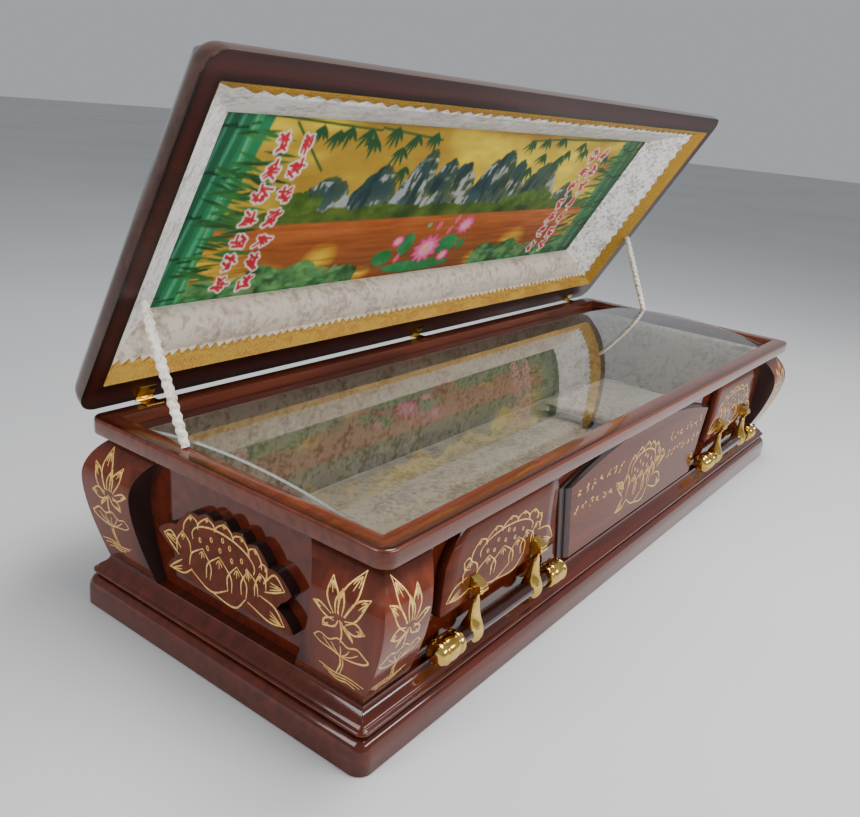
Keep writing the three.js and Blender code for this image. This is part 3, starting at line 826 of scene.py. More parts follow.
@dataclass
class Case:
    """The standing part: plinth, walls, rim, posts and boards."""

    finishes: Finishes
    rim: Flat = (1000, 345)
    rim_bottom: float = 347
    corner: float = 25
    plinth: Flat = (1019, 350.5)
    wall: Flat = (962.3, 307.3)
    panel_face: float = 325
    plaque_face: float = 983
    seat: float = 99

    def build(self, nodes: dict[str, bpy.types.Object]) -> None:
        """Builds and dresses every piece of the case.

        Args:
            nodes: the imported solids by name.
        """
        self.build_plinth()
        self.build_rim()
        nodes["case_shell"].data.materials.clear()
        nodes["case_shell"].data.materials.append(self.finishes.wall)
        for end in End:
            self.build_plaque(end)
            for side in Side:
                self.build_post(side, end)
                self.build_lotus_panel(side, end)
        for side in Side:
            self.build_centre_panel(side)

    def build_plinth(self) -> None:
        """Builds the moulded plinth: skirt, groove, nose and cove."""
        profile = [(1.5, 0), (0, 1.5), (0, 6), (0, 28)]
        profile += bezier([(0, 28), (0, 44), (6, 56), (14, 58.4)], 10)[1:]
        profile += [(18.5, 59), (20, 60.2), (20, 64)]
        profile += bezier([(17, 64.6), (6.6, 64.4), (6.6, 74.4), (15, 74.6)], 8)
        profile += bezier([(16.4, 75.6), (17, 82), (33, 84), (36, self.seat)], 9)
        form = Sculpt()
        # The groove under the nose is darkened: painted shade in the recess.
        form.loft([inset(*self.plinth, self.corner, by, z) for by, z in profile], caps=False,
                  shade=lambda p: 0.6 if 58.6 < p[2] < 64.8 else 0.08)
        x, y = self.plinth
        underside = rounded(x - 1.5, 1.5 - y, y - 1.5, self.corner - 1.5, 0)
        inner = rounded(x - 60, 60 - y, y - 60, 2, 0)
        form.loft([underside, inner], caps=False)
        form.loft([inner, inner], caps=True)
        at_wall = rounded(self.wall[0], -self.wall[1], self.wall[1], 0.5, self.seat)
        # The flat at the foot of the wall is darkened: painted shade where the plinth meets the wall.
        form.loft([inset(*self.plinth, self.corner, 36, self.seat), at_wall], caps=False,
                  shade=lambda p: 0.25)
        place(form.build("plinth_moulding", [self.finishes.plinth], 40), "case", "plinth_lacquer",
              "base_plinth")

    def build_rim(self) -> None:
        """Builds the rim, its round outer edges and the ledge under the glass."""
        profile = [(3, 347), (1, 347.8), (0, 350), (0, 372), (0.6, 375), (2.2, 377.2), (5, 378)]
        loops = [inset(*self.rim, self.corner, by, z) for by, z in profile]
        x, y = self.rim
        inner = [(22, 378), (40.5, 378), (41.6, 377.4), (42, 376), (42, 358), (42, 353), (56, 353), (56, 347)]
        for by, z in inner:
            loops.append(rounded(x - by, by - y, y - by, 1.5 if by > 30 else 8, z))

        def shade(p: Point) -> float:
            """Darkens the outer edge of the top; the ledge under the glass gets painted shade."""
            if p[2] > 377.5 and (abs(p[0]) > 990 or abs(p[1]) > 334):
                return 0.85
            return 0.9 if p[2] < 357 and abs(p[1]) < 304 else 0.0

        form = Sculpt().loft(loops, cyclic=True, shade=shade)
        place(form.build("rim_frame", [self.finishes.rim], 40), "case", "rim_lacquer", "top_rim")

    def post_rows(self, end_face: bool, steps: int = 22) -> list[Flat]:
        """Gives how far a post stands out past the rim line.

        Args:
            end_face: whether it is the face on the end of the coffin.
            steps: pieces in each half of the curve.

        Returns:
            Pairs of that distance and the level, from the top down.
        """
        belly, foot, top_pull, foot_pull = (9, -16, -24, -4) if end_face else (14, -33, -16, -9)
        upper = [(-32, 337), (top_pull, 329), (belly, 298), (belly, 258)]
        lower = [(belly, 258), (belly, 215), (foot_pull, 150), (foot, self.seat + 0.3)]
        return bezier(upper, steps)[:-1] + bezier(lower, steps)

    def build_post(self, side: Side, end: End) -> None:
        """Builds one corner post and the flower engraved on its two faces.

        Args:
            side: the long side that it is on.
            end: the end that it is on.
        """
        ends, sides = self.post_rows(True), self.post_rows(False)
        back_x, back_y = self.wall
        on_end, on_side, columns = 140, 115, 8
        form, loops = Sculpt(), []
        for (out_x, z), (out_y, _) in zip(ends, sides):
            x, y = self.rim[0] + out_x, self.rim[1] + out_y
            loop = [(x, y - on_end * i / columns) for i in range(columns + 1)]
            loop += [(back_x, y - on_end), (back_x, back_y), (x - on_side, back_y)]
            loop += [(x - on_side * (1 - i / columns), y) for i in range(columns)]
            loops.append([(end.value * px, side.value * py, z) for px, py in loop])
        # Tone 1, on the inner edge faces and the back, is the near-black edge colour: painted shade.
        tones = [0] * columns + [1, 1, 1, 1] + [0] * columns

        def shade(p: Point) -> float:
            """Darkens the board towards its edges, top and foot."""
            level = max(0.0, 1 - (p[2] - 96) / 34) + max(0.0, 1 - (338 - p[2]) / 26)
            inner = max(0.0, 1 - (abs(p[1]) - 205) / 26) if abs(p[0]) > 990 else 0.0
            return min(1.0, level * 0.8 + inner * 0.6)

        form.loft(loops, tones=tones, shade=shade)
        name = f"corner_post_{side.name.lower()}_{end.name.lower()}"
        place(form.build(f"{name}_board", [self.finishes.post, self.finishes.edge_shade], 30), "case",
              "post_lacquer", name)
        levels = [z for _, z in reversed(ends)]
        outs = [[o for o, _ in reversed(rows)] for rows in (ends, sides)]

        def on_end_face(u: float, v: float, high: float) -> Point:
            """Lays a place of the flower on the end face."""
            z = 234 + v
            x = self.rim[0] + float(np.interp(z, levels, outs[0])) + high
            return end.value * x, side.value * (279 + u), z

        def on_side_face(u: float, v: float, high: float) -> Point:
            """Lays a place of the flower on the long side's face."""
            z = 234 + v
            y = self.rim[1] + float(np.interp(z, levels, outs[1])) + high
            return end.value * (948 + u * 0.92), side.value * y, z
        flower = standing_lotus()
        for label, lay in (("end", on_end_face), ("side", on_side_face)):
            made = engrave(f"{name}_{label}_flower", flower, lay, self.finishes.gilding)
            place(made, "case", "post_lacquer")

    def build_lotus_panel(self, side: Side, end: End) -> None:
        """Builds one raised board with its rolled top edge and the lotus on it.

        Args:
            side: the long side that it is on.
            end: the end that it is nearer to.
        """
        form, loops, back = Sculpt(), [], self.wall[1]
        levels = [178, 178.4, 179.4, 181, 184, 190, 215, 240, 270, 296]
        levels += [301 + 34 * math.sin(i / 12 * math.pi / 2) for i in range(13)]
        for z in levels:
            low = max(0.0, 1 - (z - 178) / 6)
            outer = float(np.interp(z, (178, 184, 190, 268, 290, 310, 325, 335),
                                    (805, 810, 812, 812, 805, 790, 774, 762)))
            inner = float(np.interp(z, (178, 184, 240, 300, 335), (431, 425, 438, 444, 450)))
            face = self.panel_face - 2.5 * low * low
            if z > 301:
                face = self.panel_face - 15.7 * (1 - math.sqrt(max(0.0, 1 - ((z - 301) / 34) ** 2)))
            loop = [(outer, back), (outer, face - 1.2), (outer - 1.2, face)]
            loop += [(blend(outer - 1.2, inner + 1.2, i / 10), face) for i in range(1, 11)]
            loop += [(inner, face - 1.2), (inner, back)]
            loops.append([(end.value * x, side.value * y, z) for x, y in loop])
        # The board's edge faces are darkened toward the edge colour: painted shade.
        form.loft(loops, shade=lambda p: 0.8 if abs(p[1]) < 322 and (abs(p[0]) > 760 or abs(p[0]) < 452)
                  else 0.0)
        name = f"lotus_panel_{side.name.lower()}_{end.name.lower()}"
        place(form.build(f"{name}_board", [self.finishes.panel], 50), "case", "panel_lacquer", name)

        def lay(u: float, v: float, high: float) -> Point:
            """Lays a place of the lotus on the board's face."""
            return end.value * (617 - u * 1.12), side.value * (self.panel_face + high), 242 + v * 0.8
        place(engrave(f"{name}_lotus", wide_lotus(True), lay, self.finishes.gilding), "case", "panel_lacquer")

    def arch(self, grow: float, y: float) -> list[Point]:
        """Gives the outline of the wide board.

        Args:
            grow: how far it is grown outward.
            y: its depth.

        Returns:
            The loop of points.
        """
        bottom, spring, level = 341 + grow, 386 + grow, 287
        rise = min(335 + grow, self.rim_bottom - 1) - level
        radius = (spring * spring + rise * rise) / (2 * rise)
        points = [(-bottom, y, 118.0), (bottom, y, 118.0)]
        for i in range(41):
            x = spring * (1 - i / 20)
            points.append((x, y, level + rise - radius + math.sqrt(radius * radius - x * x)))
        return points

    def build_centre_panel(self, side: Side) -> None:
        """Builds the wide arched board, its stepped edge, the lotus and the rows of strokes.

        Args:
            side: the long side that it is on.
        """
        steps = [(23, 307.3), (23, 310), (21.5, 311.6), (14, 313.5), (12.6, 315), (12, 318.4), (10.5, 320.2),
                 (2.4, 323.4), (0.6, 324.5), (0, 325)]
        form = Sculpt()
        loops = [self.arch(grow, side.value * y) for grow, y in steps]
        # Tone 1, on the stepped edge, is the near-black edge colour: painted shade.
        form.loft(loops, caps=False, tone=1)
        face = self.arch(0, side.value * self.panel_face)
        form.loft([face, [(x * 0.97, y, 122 + (z - 118) * 0.955) for x, y, z in face]], caps=False)
        form.loft([[(x * 0.97, y, 122 + (z - 118) * 0.955) for x, y, z in face]] * 2, caps=True)
        name = f"centre_panel_{side.name.lower()}"
        place(form.build(f"{name}_board", [self.finishes.panel, self.finishes.edge_shade], 30, 1e-5), "case",
              "panel_lacquer", name)
        flip = -side.value

        def lay(u: float, v: float, high: float) -> Point:
            """Lays a place of the drawing on the board's face."""
            return flip * u, side.value * (self.panel_face + high), v
        strokes = [([(-8 + x * 0.86, 214 + y * 1.02) for x, y in points], width)
                   for points, width in wide_lotus()]
        for seed, middle in ((3, -244), (8, 244)):
            for points, width in written_rows(seed + side.value, 7, 2, (33, 43)):
                strokes.append(([(middle + x, 243 + y) for x, y in points], width))
        place(engrave(f"{name}_lotus", strokes, lay, self.finishes.gilding), "case", "panel_lacquer")

    def build_plaque(self, end: End) -> None:
        """Builds the lotus-shaped board of one end, its edge dark with painted shade, and the drawing on it.

        Args:
            end: the end that it is on.
        """
        corners = [
            (-169, 213), (-144, 232), (-120, 239), (-104, 258), (-86, 275), (-63, 277), (-43, 287),
            (-24, 280),
            (1, 291), (18, 277), (42, 284), (55, 270), (75, 276), (98, 258), (105, 248), (124, 248),
            (158, 220), (136, 198), (127, 185), (150, 172), (166, 153), (123, 149), (82, 146), (57, 149),
            (35, 147), (21, 139), (-2, 142), (-29, 149), (-50, 143), (-79, 146), (-120, 151), (-144, 148),
            (-133, 165), (-113, 178), (-136, 192), (-155, 202),
        ]
        outline = []
        for i, p in enumerate(corners):
            a, b = np.array(p, float), np.array(corners[(i + 1) % len(corners)], float)
            out = np.array((a[1] - b[1], b[0] - a[0])) * 0.07
            outline.extend(tuple(a + (b - a) * t + out * 4 * t * (1 - t)) for t in (0, 0.25, 0.5, 0.75))

        def at(x: float, by: float) -> list[Point]:
            """Gives the outline drawn in by an inset, at a depth."""
            return [(end.value * x, end.value * u * (1 - by / 170), 214 + (z - 214) * (1 - by / 75))
                    for u, z in outline]

        # Tone 1, on the plaque's edge, is the near-black edge colour: painted shade.
        form = Sculpt().loft([at(962.3, 0), at(self.plaque_face - 0.8, 0), at(self.plaque_face, 0.8)],
                             caps=False, tone=1)
        form.loft([at(self.plaque_face, 0.8)] * 2, caps=True)
        name = f"end_plaque_{end.name.lower()}"
        place(form.build(f"{name}_board", [self.finishes.panel, self.finishes.edge_shade], 30, 1e-5), "case",
              "plaque_lacquer", name)

        def lay(u: float, v: float, high: float) -> Point:
            """Lays a place of the lotus on the plaque's face."""
            return end.value * (self.plaque_face + high), end.value * (u * 0.96), 212 + v * 0.96
        place(engrave(f"{name}_lotus", wide_lotus(), lay, self.finishes.gilding), "case", "plaque_lacquer")


@dataclass
class SwingHandle:
    """One bar on two hanging arms, with its end caps."""

    finishes: Finishes
    side: Side
    end: End
    centre: Flat = (616, 335)
    bar_level: float = 124
    pivot_level: float = 197
    arm_spacing: float = 103
    bar_half: float = 163
    cap_start: float = 151

    def build(self) -> None:
        """Builds the bar, and an arm, a cap and a lug at each side of it."""
        name = f"handle_{self.side.name.lower()}_{self.end.name.lower()}"
        x, y = self.end.value * self.centre[0], self.side.value * self.centre[1]
        half = self.bar_half
        profile = [(-half, 0), (-half, 13), (1 - half, 14), (half - 1, 14), (half, 13), (half, 0)]
        bar = Sculpt().lathe(profile, (x, y, self.bar_level), 40)
        place(bar.build(f"{name}_rod", [self.finishes.bar]), name, "bar_lacquer", f"{name}_bar")
        for part, side in (("outer", self.end.value), ("inner", -self.end.value)):
            arm_x = x + side * self.arm_spacing
            place(self.arm(arm_x, y).build(f"{name}_{part}_hanger", [self.finishes.brass], 40), name,
                  "brass", f"{name}_{part}_arm")
            place(self.cap(x, y, side).build(f"{name}_{part}_knob", [self.finishes.brass], 34), name,
                  "brass", f"{name}_{part}_cap")
            lug = self.lug(arm_x).build(f"{name}_{part}_hood", [self.finishes.brass], 30)
            place(lug, "case", "brass", f"{name}_{part}_lug")
            bevel = lug.modifiers.new("softened_edges", "BEVEL")
            bevel.width, bevel.segments = 0.0009, 2

    def lug(self, x: float) -> Sculpt:
        """Makes one lug: a hood with a sloping top and a wider lip, two ears and the pin.

        Args:
            x: its place along the coffin.

        Returns:
            The sculpt.
        """
        back, low = 325.3, self.pivot_level + 6.5
        form = Sculpt()
        hood = [(back, low), (347, low), (347, low + 10), (345, low + 13), (336, low + 19), (back, low + 24)]
        lip = [(back, low), (348.6, low), (348.6, low + 6), (back, low + 6)]
        for half, section in ((11, hood), (12.6, lip)):
            form.loft([[(x + dx, self.side.value * y, z) for y, z in section] for dx in (-half, half)])
        ear = [(back, low + 0.5), (344, low + 0.5), (341, self.pivot_level - 5), (back, self.pivot_level - 6)]
        for near, far in ((-10, -5.4), (5.4, 10)):
            form.loft([[(x + dx, self.side.value * y, z) for y, z in ear] for dx in (near, far)])
        return form.lathe([(-9, 0), (-9, 2), (9, 2), (9, 0)],
                          (x, self.side.value * self.centre[1], self.pivot_level), 12)

    def arm(self, x: float, y: float) -> Sculpt:
        """Makes one arm: an eye and a shank that swells into the drop round the bar.

        Args:
            x: its place along the coffin.
            y: its place across the coffin.

        Returns:
            The sculpt.
        """
        form = Sculpt()
        levels = [(100.5, 4, 5), (102, 7.6, 9), (106, 11.4, 14.4), (112, 14, 18.2), (119, 16, 20.6),
                  (127, 17.1, 20.8), (135, 17.2, 18.4),
                  (143, 16.2, 14.6), (151, 14.4, 11), (160, 12.4, 8.6), (171, 10.6, 6.8), (181, 9.2, 6),
                  (186, 7.6, 5.5), (189, 4.4, 5.2), (194, 4.4, 5.4)]
        loops = []
        for z, wide, deep in levels:
            loops.append([(x + wide * math.copysign(abs(math.cos(a)) ** 0.85, math.cos(a)),
                           y + deep * math.copysign(abs(math.sin(a)) ** 0.85, math.sin(a)), z)
                          for a in (2 * math.pi * i / 32 for i in range(32))])
        form.loft(loops)
        form.lathe([(-4.4, 0), (-4.4, 5), (-3.9, 5.5), (3.9, 5.5), (4.4, 5), (4.4, 0)],
                   (x, y, self.pivot_level), 24)
        return form

    def cap(self, x: float, y: float, side: int) -> Sculpt:
        """Makes one end cap: collar rings, a slightly barrelled body and a round end.

        Args:
            x: the middle of the handle along the coffin.
            y: its place across the coffin.
            side: 1 for the cap at the +X end of the bar and -1 for the other.

        Returns:
            The sculpt.
        """
        profile = [(12.4, 0), (12.4, 15), (0, 15), (0, 20), (1, 21.8), (3, 22.7), (9, 22.7), (11, 21.8),
                   (12, 20.6), (14, 20.6),
                   (15, 22), (17, 23)]
        profile += [(blend(17, 42, t), 23 + math.sin(math.pi * t) * 0.8) for t in (0.2, 0.4, 0.6, 0.8)]
        profile += [(42, 22.8), (43.4, 21.2), (45, 21.2), (46.4, 23), (48.4, 23.9), (50.4, 23), (52, 21.4),
                    (53.4, 21.4)]
        profile += [(53.4 + 13 * math.sin(a), 21.4 * math.cos(a) ** 0.8)
                    for a in (0.3, 0.6, 0.9, 1.15, 1.35, 1.5)] + [(66.4, 0)]
        return Sculpt().lathe(profile, (x + side * self.cap_start, y, self.bar_level), 40, side)


@dataclass
class Bed:
    """What lies in the case: lining, mattress, pillow and the glass over them."""

    finishes: Finishes
    glass: Flat = (948, 300)
    rise: float = 33
    foot: float = 353.3
    lining: Flat = (939.6, 284.6)
    mattress_top: float = 110

    def build(self) -> None:
        """Builds every piece of the bed."""
        self.build_glass()
        self.build_lining()
        self.build_mattress()
        self.build_pillow()

    def build_glass(self) -> None:
        """Builds the bent sheet of glass."""
        radius = (self.glass[1] ** 2 + self.rise ** 2) / (2 * self.rise)
        section = []
        for thick, order in ((5, 1), (0, -1)):
            for i in range(49):
                y = order * self.glass[1] * (1 - i / 24)
                vault = max(0.0, math.sqrt(radius * radius - y * y) - radius + self.rise)
                section.append((y, self.foot + thick + vault))
        loops = [[(x, y, z) for y, z in section] for x in (-self.glass[0], self.glass[0])]
        form = Sculpt().loft(loops)
        form.tones[-2:] = [1, 1]
        made = form.build("bent_glass", [self.finishes.glass, self.finishes.glass_edge], 30)
        place(made, "case", "clear_glass", "glass_cover")

    def build_lining(self) -> None:
        """Builds the padded walls of the bed, gathered a little along their length."""
        x, y = self.lining
        base = rounded(x, -y, y, 14, 38.5, 6)
        counts = [max(1, round(math.dist(a, base[(i + 1) % len(base)]) / 18)) for i, a in enumerate(base)]
        form, loops = Sculpt(), [self.dense(base, counts)]
        for by, z, soft in ((0, 346, 0), (4, 346.5, 0), (9, 345, 0.3), (12, 336, 1), (13, 300, 1),
                            (12, 240, 1), (12, 170, 1), (11, 60, 0), (11, 49, 0)):
            dense = self.dense(rounded(x - by, by - y, y - by, 14, z, 6), counts)
            loops.append([(px - math.copysign(1, px) * soft * (1.6 + 1.6 * ripple(py, z, 26))
                           * (abs(px) > x - by - 3),
                           py - math.copysign(1, py) * soft * (1.6 + 1.6 * ripple(px, z, 30))
                           * (abs(py) > y - by - 3), pz)
                          for px, py, pz in dense])
        form.loft(loops, caps=True)
        made = form.build("velvet_walls", [self.finishes.bed], 60)
        place(made, "case", "bed_velvet", "case_lining")

    @staticmethod
    def dense(loop: Sequence[Point], counts: Sequence[int]) -> list[Point]:
        """Cuts each span of a loop into pieces.

        Args:
            loop: the loop of points.
            counts: how many pieces each span gets.

        Returns:
            The longer loop.
        """
        made = []
        for i, (a, count) in enumerate(zip(loop, counts)):
            b = loop[(i + 1) % len(loop)]
            made.extend(tuple(blend(p, q, k / count) for p, q in zip(a, b)) for k in range(count))
        return made

    def cushion(self, name: str, low: Point, high: Point, corner: float, crown: float, sag: float,
                seed: float) -> bpy.types.Object:
        """Makes a crowned closed cushion whose sides pull in between its corners.

        Args:
            name: the piece's name.
            low: its lowest corner.
            high: its highest corner.
            corner: how round its plan is.
            crown: share of its height that its middle rises.
            sag: depth of its creases.
            seed: picks the creases.

        Returns:
            The cushion.
        """
        cx, cy, cz = ((a + b) / 2 for a, b in zip(low, high))
        hx, hy, hz = ((b - a) / 2 for a, b in zip(low, high))
        nu, nv = max(24, int(hx / 9)), max(24, int(hy / 9))
        form = Sculpt()
        for top in (1, -1):
            rows = []
            for j in range(nv + 1):
                row = []
                for i in range(nu + 1):
                    u, v = -1 + 2 * i / nu, -1 + 2 * j / nv
                    fall = max(0.0, (1 - abs(u) ** corner) * (1 - abs(v) ** corner))
                    fall **= 0.32 if top > 0 else 0.18
                    pull = 0.05 * (1 - abs(v) ** 2) * abs(u) ** 6
                    side_pull = 0.05 * (1 - abs(u) ** 2) * abs(v) ** 6
                    x, y = cx + hx * u * (1 - pull), cy + hy * v * (1 - side_pull)
                    rise = fall * (1 - crown + crown * (1 - u * u) * (1 - v * v))
                    crease = sag * ripple(x, y, 34, seed) * fall if top > 0 else 0
                    row.append((x, y, cz + top * hz * rise + crease))
                rows.append(row)
            form.loft(rows, caps=False, open_loop=True)
        return form.build(name, [self.finishes.bed], 70, 2e-5)

    def build_mattress(self) -> None:
        """Builds the mattress with its soft upper edge."""
        x, y = self.lining[0] - 12.9, self.lining[1] - 12.9
        made = self.cushion("velvet_mattress", (-x, -y, 49), (x, y, self.mattress_top), 14, 0.02, 1.6, 1.0)
        place(made, "case", "bed_velvet", "mattress")

    def build_pillow(self) -> None:
        """Builds the pillow."""
        made = self.cushion("velvet_pillow", (420, -170, 110.5), (840, 170, 188), 5, 0.35, 3.2, 2.0)
        inflate(made, 3.0, 9)
        place(made, "case", "bed_velvet", "pillow")


def inflate(piece: bpy.types.Object, pressure: float, cap: float) -> None:
    """Lets cloth simulation fill a pad, then keeps the result.

    Args:
        piece: the closed pad.
        pressure: how hard it is blown up.
        cap: the furthest that a point may move, in millimetres.
    """
    rest = np.array([v.co for v in piece.data.vertices])
    cloth = piece.modifiers.new("filling", "CLOTH")
    cloth.settings.use_pressure = True
    cloth.settings.uniform_pressure_force = pressure
    cloth.settings.effector_weights.gravity = 0
    cloth.settings.quality = 6
    scene = bpy.context.scene
    scene.frame_start, scene.frame_end = 1, 20
    cloth.point_cache.frame_start, cloth.point_cache.frame_end = 1, 20
    for step in range(1, 21):
        scene.frame_set(step)
    graph = bpy.context.evaluated_depsgraph_get()
    result = np.array([v.co for v in piece.evaluated_get(graph).data.vertices])
    piece.modifiers.remove(cloth)
    scene.frame_set(1)
    if len(result) != len(rest):
        return
    move = result - rest
    length = np.linalg.norm(move, axis=1, keepdims=True)
    move *= np.minimum(1, cap / 1000 / np.maximum(length, 1e-9))
    place_to = rest + move
    low, high = rest.min(0), rest.max(0)
    place_to = np.clip(place_to, low - 0.004, high + 0.008)
    place_to[:, 2] = np.maximum(place_to[:, 2], low[2])
    piece.data.vertices.foreach_set("co", place_to.astype(np.float32).ravel())
    piece.data.update()


@dataclass
class Lid:
    """The raised lid: shell, velvet, braid, picture, hinges and stays."""

    finishes: Finishes
    plane: float = 381
    outline: tuple[float, float, float, float] = (1015, -346, 358, 40)
    recess: Flat = (978, 300)
    picture: Point = (842, -196, 218)

    def build(self, nodes: dict[str, bpy.types.Object]) -> None:
        """Builds and dresses every piece of the lid.

        Args:
            nodes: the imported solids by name.
        """
        self.build_shell()
        self.build_lining()
        self.build_braid()
        LidPicture(self.finishes).build()
        for name, node in nodes.items():
            if name.startswith("hinge_"):
                node.data.materials.clear()
                node.data.materials.append(self.finishes.brass)
        for end in End:
            self.build_stay(end)

    def build_shell(self) -> None:
        """Builds the flange, the rounded side band and the crown."""
        x, front, back, corner = self.outline
        band = bezier([(0, 0), (0, 24), (7, 38), (20, 45)], 14)
        crown = curve_through([(20, 45), (27, 56), (44, 76), (68, 97), (100, 117), (140, 130), (185, 134)], 4)

        def level(by: float, z: float) -> list[Point]:
            """Gives the lid's outline drawn in by an inset, at a depth."""
            return raised(rounded(x - by, front + by, back - by, max(corner - by, 1.2), self.plane + z, 12))
        form = Sculpt()
        # The side band gets the grey-brown band colour, a painted sheen.
        form.loft([level(by, z) for by, z in band], caps=False, shade=lambda p: 0.3, tone=1)
        form.loft([level(by, z) for by, z in crown], caps=False, shade=lambda p: 0.5)
        form.loft([level(*crown[-1])] * 2, caps=True)
        flange = []
        for i in range(9):
            t = i / 8
            flange.append(raised(rounded(blend(x, self.recess[0], t), blend(front, -self.recess[1], t),
                                         blend(back, self.recess[1], t), blend(corner, 6, t ** 0.5),
                                         self.plane, 12)))
        start = len(form.shade)
        form.loft(flange, caps=False, tone=2)
        count = len(flange[0])
        for k in range(9):
            for i in range(count):
                form.shade[start + k * count + i] = 1.0 - 0.8 * math.sin(math.pi * k / 8)
        wall = [(0, 0), (2, 20), (26, 60), (63, 99), (98, 118)]
        form.loft([raised(rounded(self.recess[0] - by, -(self.recess[1] - by * 0.75),
                                  self.recess[1] - by * 0.75, 6, self.plane + z, 12))
                   for by, z in wall], caps=False, shade=lambda p: 0.8)
        roof = raised(rounded(self.recess[0] - 98, -(self.recess[1] - 73.5), self.recess[1] - 73.5, 6,
                              self.plane + 118, 12))
        form.loft([roof, roof], caps=True)
        dress = [self.finishes.lid, self.finishes.band, self.finishes.flange]
        place(form.build("lid_case", dress, 40, 1e-5), "lid", "lid_lacquer", "lid_shell")

    @staticmethod
    def on_rectangle(side: int, s: float, x: float, front: float, back: float) -> Flat:
        """Gives a point on one side of a rectangle.

        Args:
            side: the side, counted front, head, back, foot.
            s: the share along it.
            x: half the length.
            front: the front edge.
            back: the back edge.

        Returns:
            The point.
        """
        corners = [(-x, front), (x, front), (x, back), (-x, back)]
        a, b = corners[side], corners[(side + 1) % 4]
        return blend(a[0], b[0], s), blend(a[1], b[1], s)

    def surface(self, side: int, s: float, t: float) -> Point:
        """Gives a point on the padded slope of the shut lid.

        Args:
            side: the side, counted front, head, back, foot.
            s: the share along that side.
            t: the share from the flange to the picture.

        Returns:
            The point.
        """
        ox, oy = self.on_rectangle(side, s, self.recess[0] - 0.8, 0.8 - self.recess[1], self.recess[1] - 0.8)
        ix, iy = self.on_rectangle(side, s, *self.picture)
        x, y = blend(ox, ix, t), blend(oy, iy, t)
        depths = {0: (2.5, 5, 11, 18, 40, 66, 84, 96), 2: (2.5, 9, 20, 31, 50, 70, 86, 96)}
        steep = (2.5, 11, 24, 37, 56, 76, 90, 96)
        own, common = (float(np.interp(t, (0, 0.05, 0.13, 0.23, 0.42, 0.68, 0.88, 1.0), row))
                       for row in (depths.get(side, steep), depths[2]))
        length = 2 * self.recess[0 if side in (0, 2) else 1]
        z = blend(own, common, max(0.0, 1 - min(s, 1 - s) * length / 70))
        ends = 1 - abs(2 * s - 1) ** (26 if side in (0, 2) else 8)
        puff = math.sin(math.pi * min(1, t * 1.02)) ** 0.8 * ends
        if side == 2:
            roll = math.sin(math.pi * min(1.0, max(0.0, (t - 0.28) / 0.72))) ** 0.6 * ends
            y -= 24 * roll
            z -= 18 * roll
        else:
            z -= (7 if side == 0 else 4) * puff
        crush = ripple(x + y, z + y * 0.7, 21, side) * 1.8 * puff
        return x, y, self.plane + max(z + crush, 1.5)

    def build_lining(self) -> None:
        """Builds the crushed velvet slope round the picture, with a fold at each corner."""
        stations = [(side, s) for side, count in ((0, 150), (1, 50), (2, 150), (3, 50))
                    for s in np.arange(count) / count]
        loops = []
        shares = [i / 22 for i in range(23)]
        for side, s in stations:
            loop = [self.surface(side, s, t) for t in shares]
            for by, z in ((63, 98), (27, 60), (3, 20)):
                loop.append((*self.on_rectangle(side, s, self.recess[0] - by,
                                                -(self.recess[1] - by * 0.75) + 0.5,
                                                self.recess[1] - by * 0.75 - 0.5), self.plane + z))
            loops.append(raised(loop))
        form = Sculpt().loft(loops, cyclic=True)
        count = len(loops[0])
        for k, (side, s) in enumerate(stations):
            if side == 2:
                form.tones[k * count:(k + 1) * count] = [1] * count
        made = form.build("lid_velvet_slope", [self.finishes.lid_velvet, self.finishes.roll], 40)
        place(made, "lid", "lid_velvet", "lid_lining")

    def build_braid(self) -> None:
        """Builds the gold braid and its pointed teeth."""
        form, loops, pick = Sculpt(), [], np.random.default_rng(5)
        long, short = (2 * reach for reach in self.recess)
        # side, its length, pitch of the teeth, width of the slope, width of the braid, height of a tooth
        rows = ((0, long, 40, 104, 9, 10), (1, short, 32, 136, 22, 7), (2, long, 24, 82, 16, 6),
                (3, short, 32, 136, 22, 7))
        for side, length, pitch, span, band, point in rows:
            teeth = round(length / pitch)
            heights = pick.uniform(0.7, 1.2, teeth + 1)
            per = 8
            for i in range(teeth * per):
                s, phase = i / (teeth * per), (i % per) / per
                reach = (band + point * (1 - abs(2 * phase - 1)) * heights[i // per]) / span
                loop = []
                for t in (0, 0.2, 0.4, 0.6, 0.8, 1.0):
                    x, y, z = self.surface(side, s, t * reach)
                    loop.append((x, y, z - 2.6 - 0.5 * math.sin(i * 1.7 + t * 9) * (0 < t < 1)))
                for t in (1.0, 0.0):
                    loop.append(self.surface(side, s, t * reach))
                loops.append(raised(loop))
        form.loft(loops, cyclic=True)
        place(form.build("toothed_braid", [self.finishes.braid], 50), "lid", "gold_braid", "gold_braid")

    def build_stay(self, end: End) -> None:
        """Builds one ruched sleeve from the rim to the lid.

        Args:
            end: the end that it is on.
        """
        foot = np.array((end.value * 966, 117.0, 379.0))
        head = np.array(raised([(end.value * 968, 94, self.plane - 4)])[0])
        along = head - foot
        length = np.linalg.norm(along)
        along /= length
        across = np.array((1.0, 0, 0))
        third = np.cross(along, across)
        loops = []
        for i in range(121):
            t = i / 120
            loop = []
            for k in range(20):
                a = 2 * math.pi * k / 20
                gather = math.sin(t * 100 + a) * 1.2 + ripple(t * 260, a * 9, 9, 3) * 0.6
                radius = (8.9 + gather) * (0.75 + 0.25 * math.sin(math.pi * min(1, max(0.02, t))) ** 0.3)
                out = across * math.cos(a) + third * math.sin(a)
                loop.append(tuple(foot + along * length * t + out * radius))
            loops.append(loop)
        made = Sculpt().loft(loops).build(f"ruched_stay_{end.name.lower()}", [self.finishes.stay], 70)
        place(made, "case", "stay_velvet", f"stay_{end.name.lower()}")
        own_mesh(made)


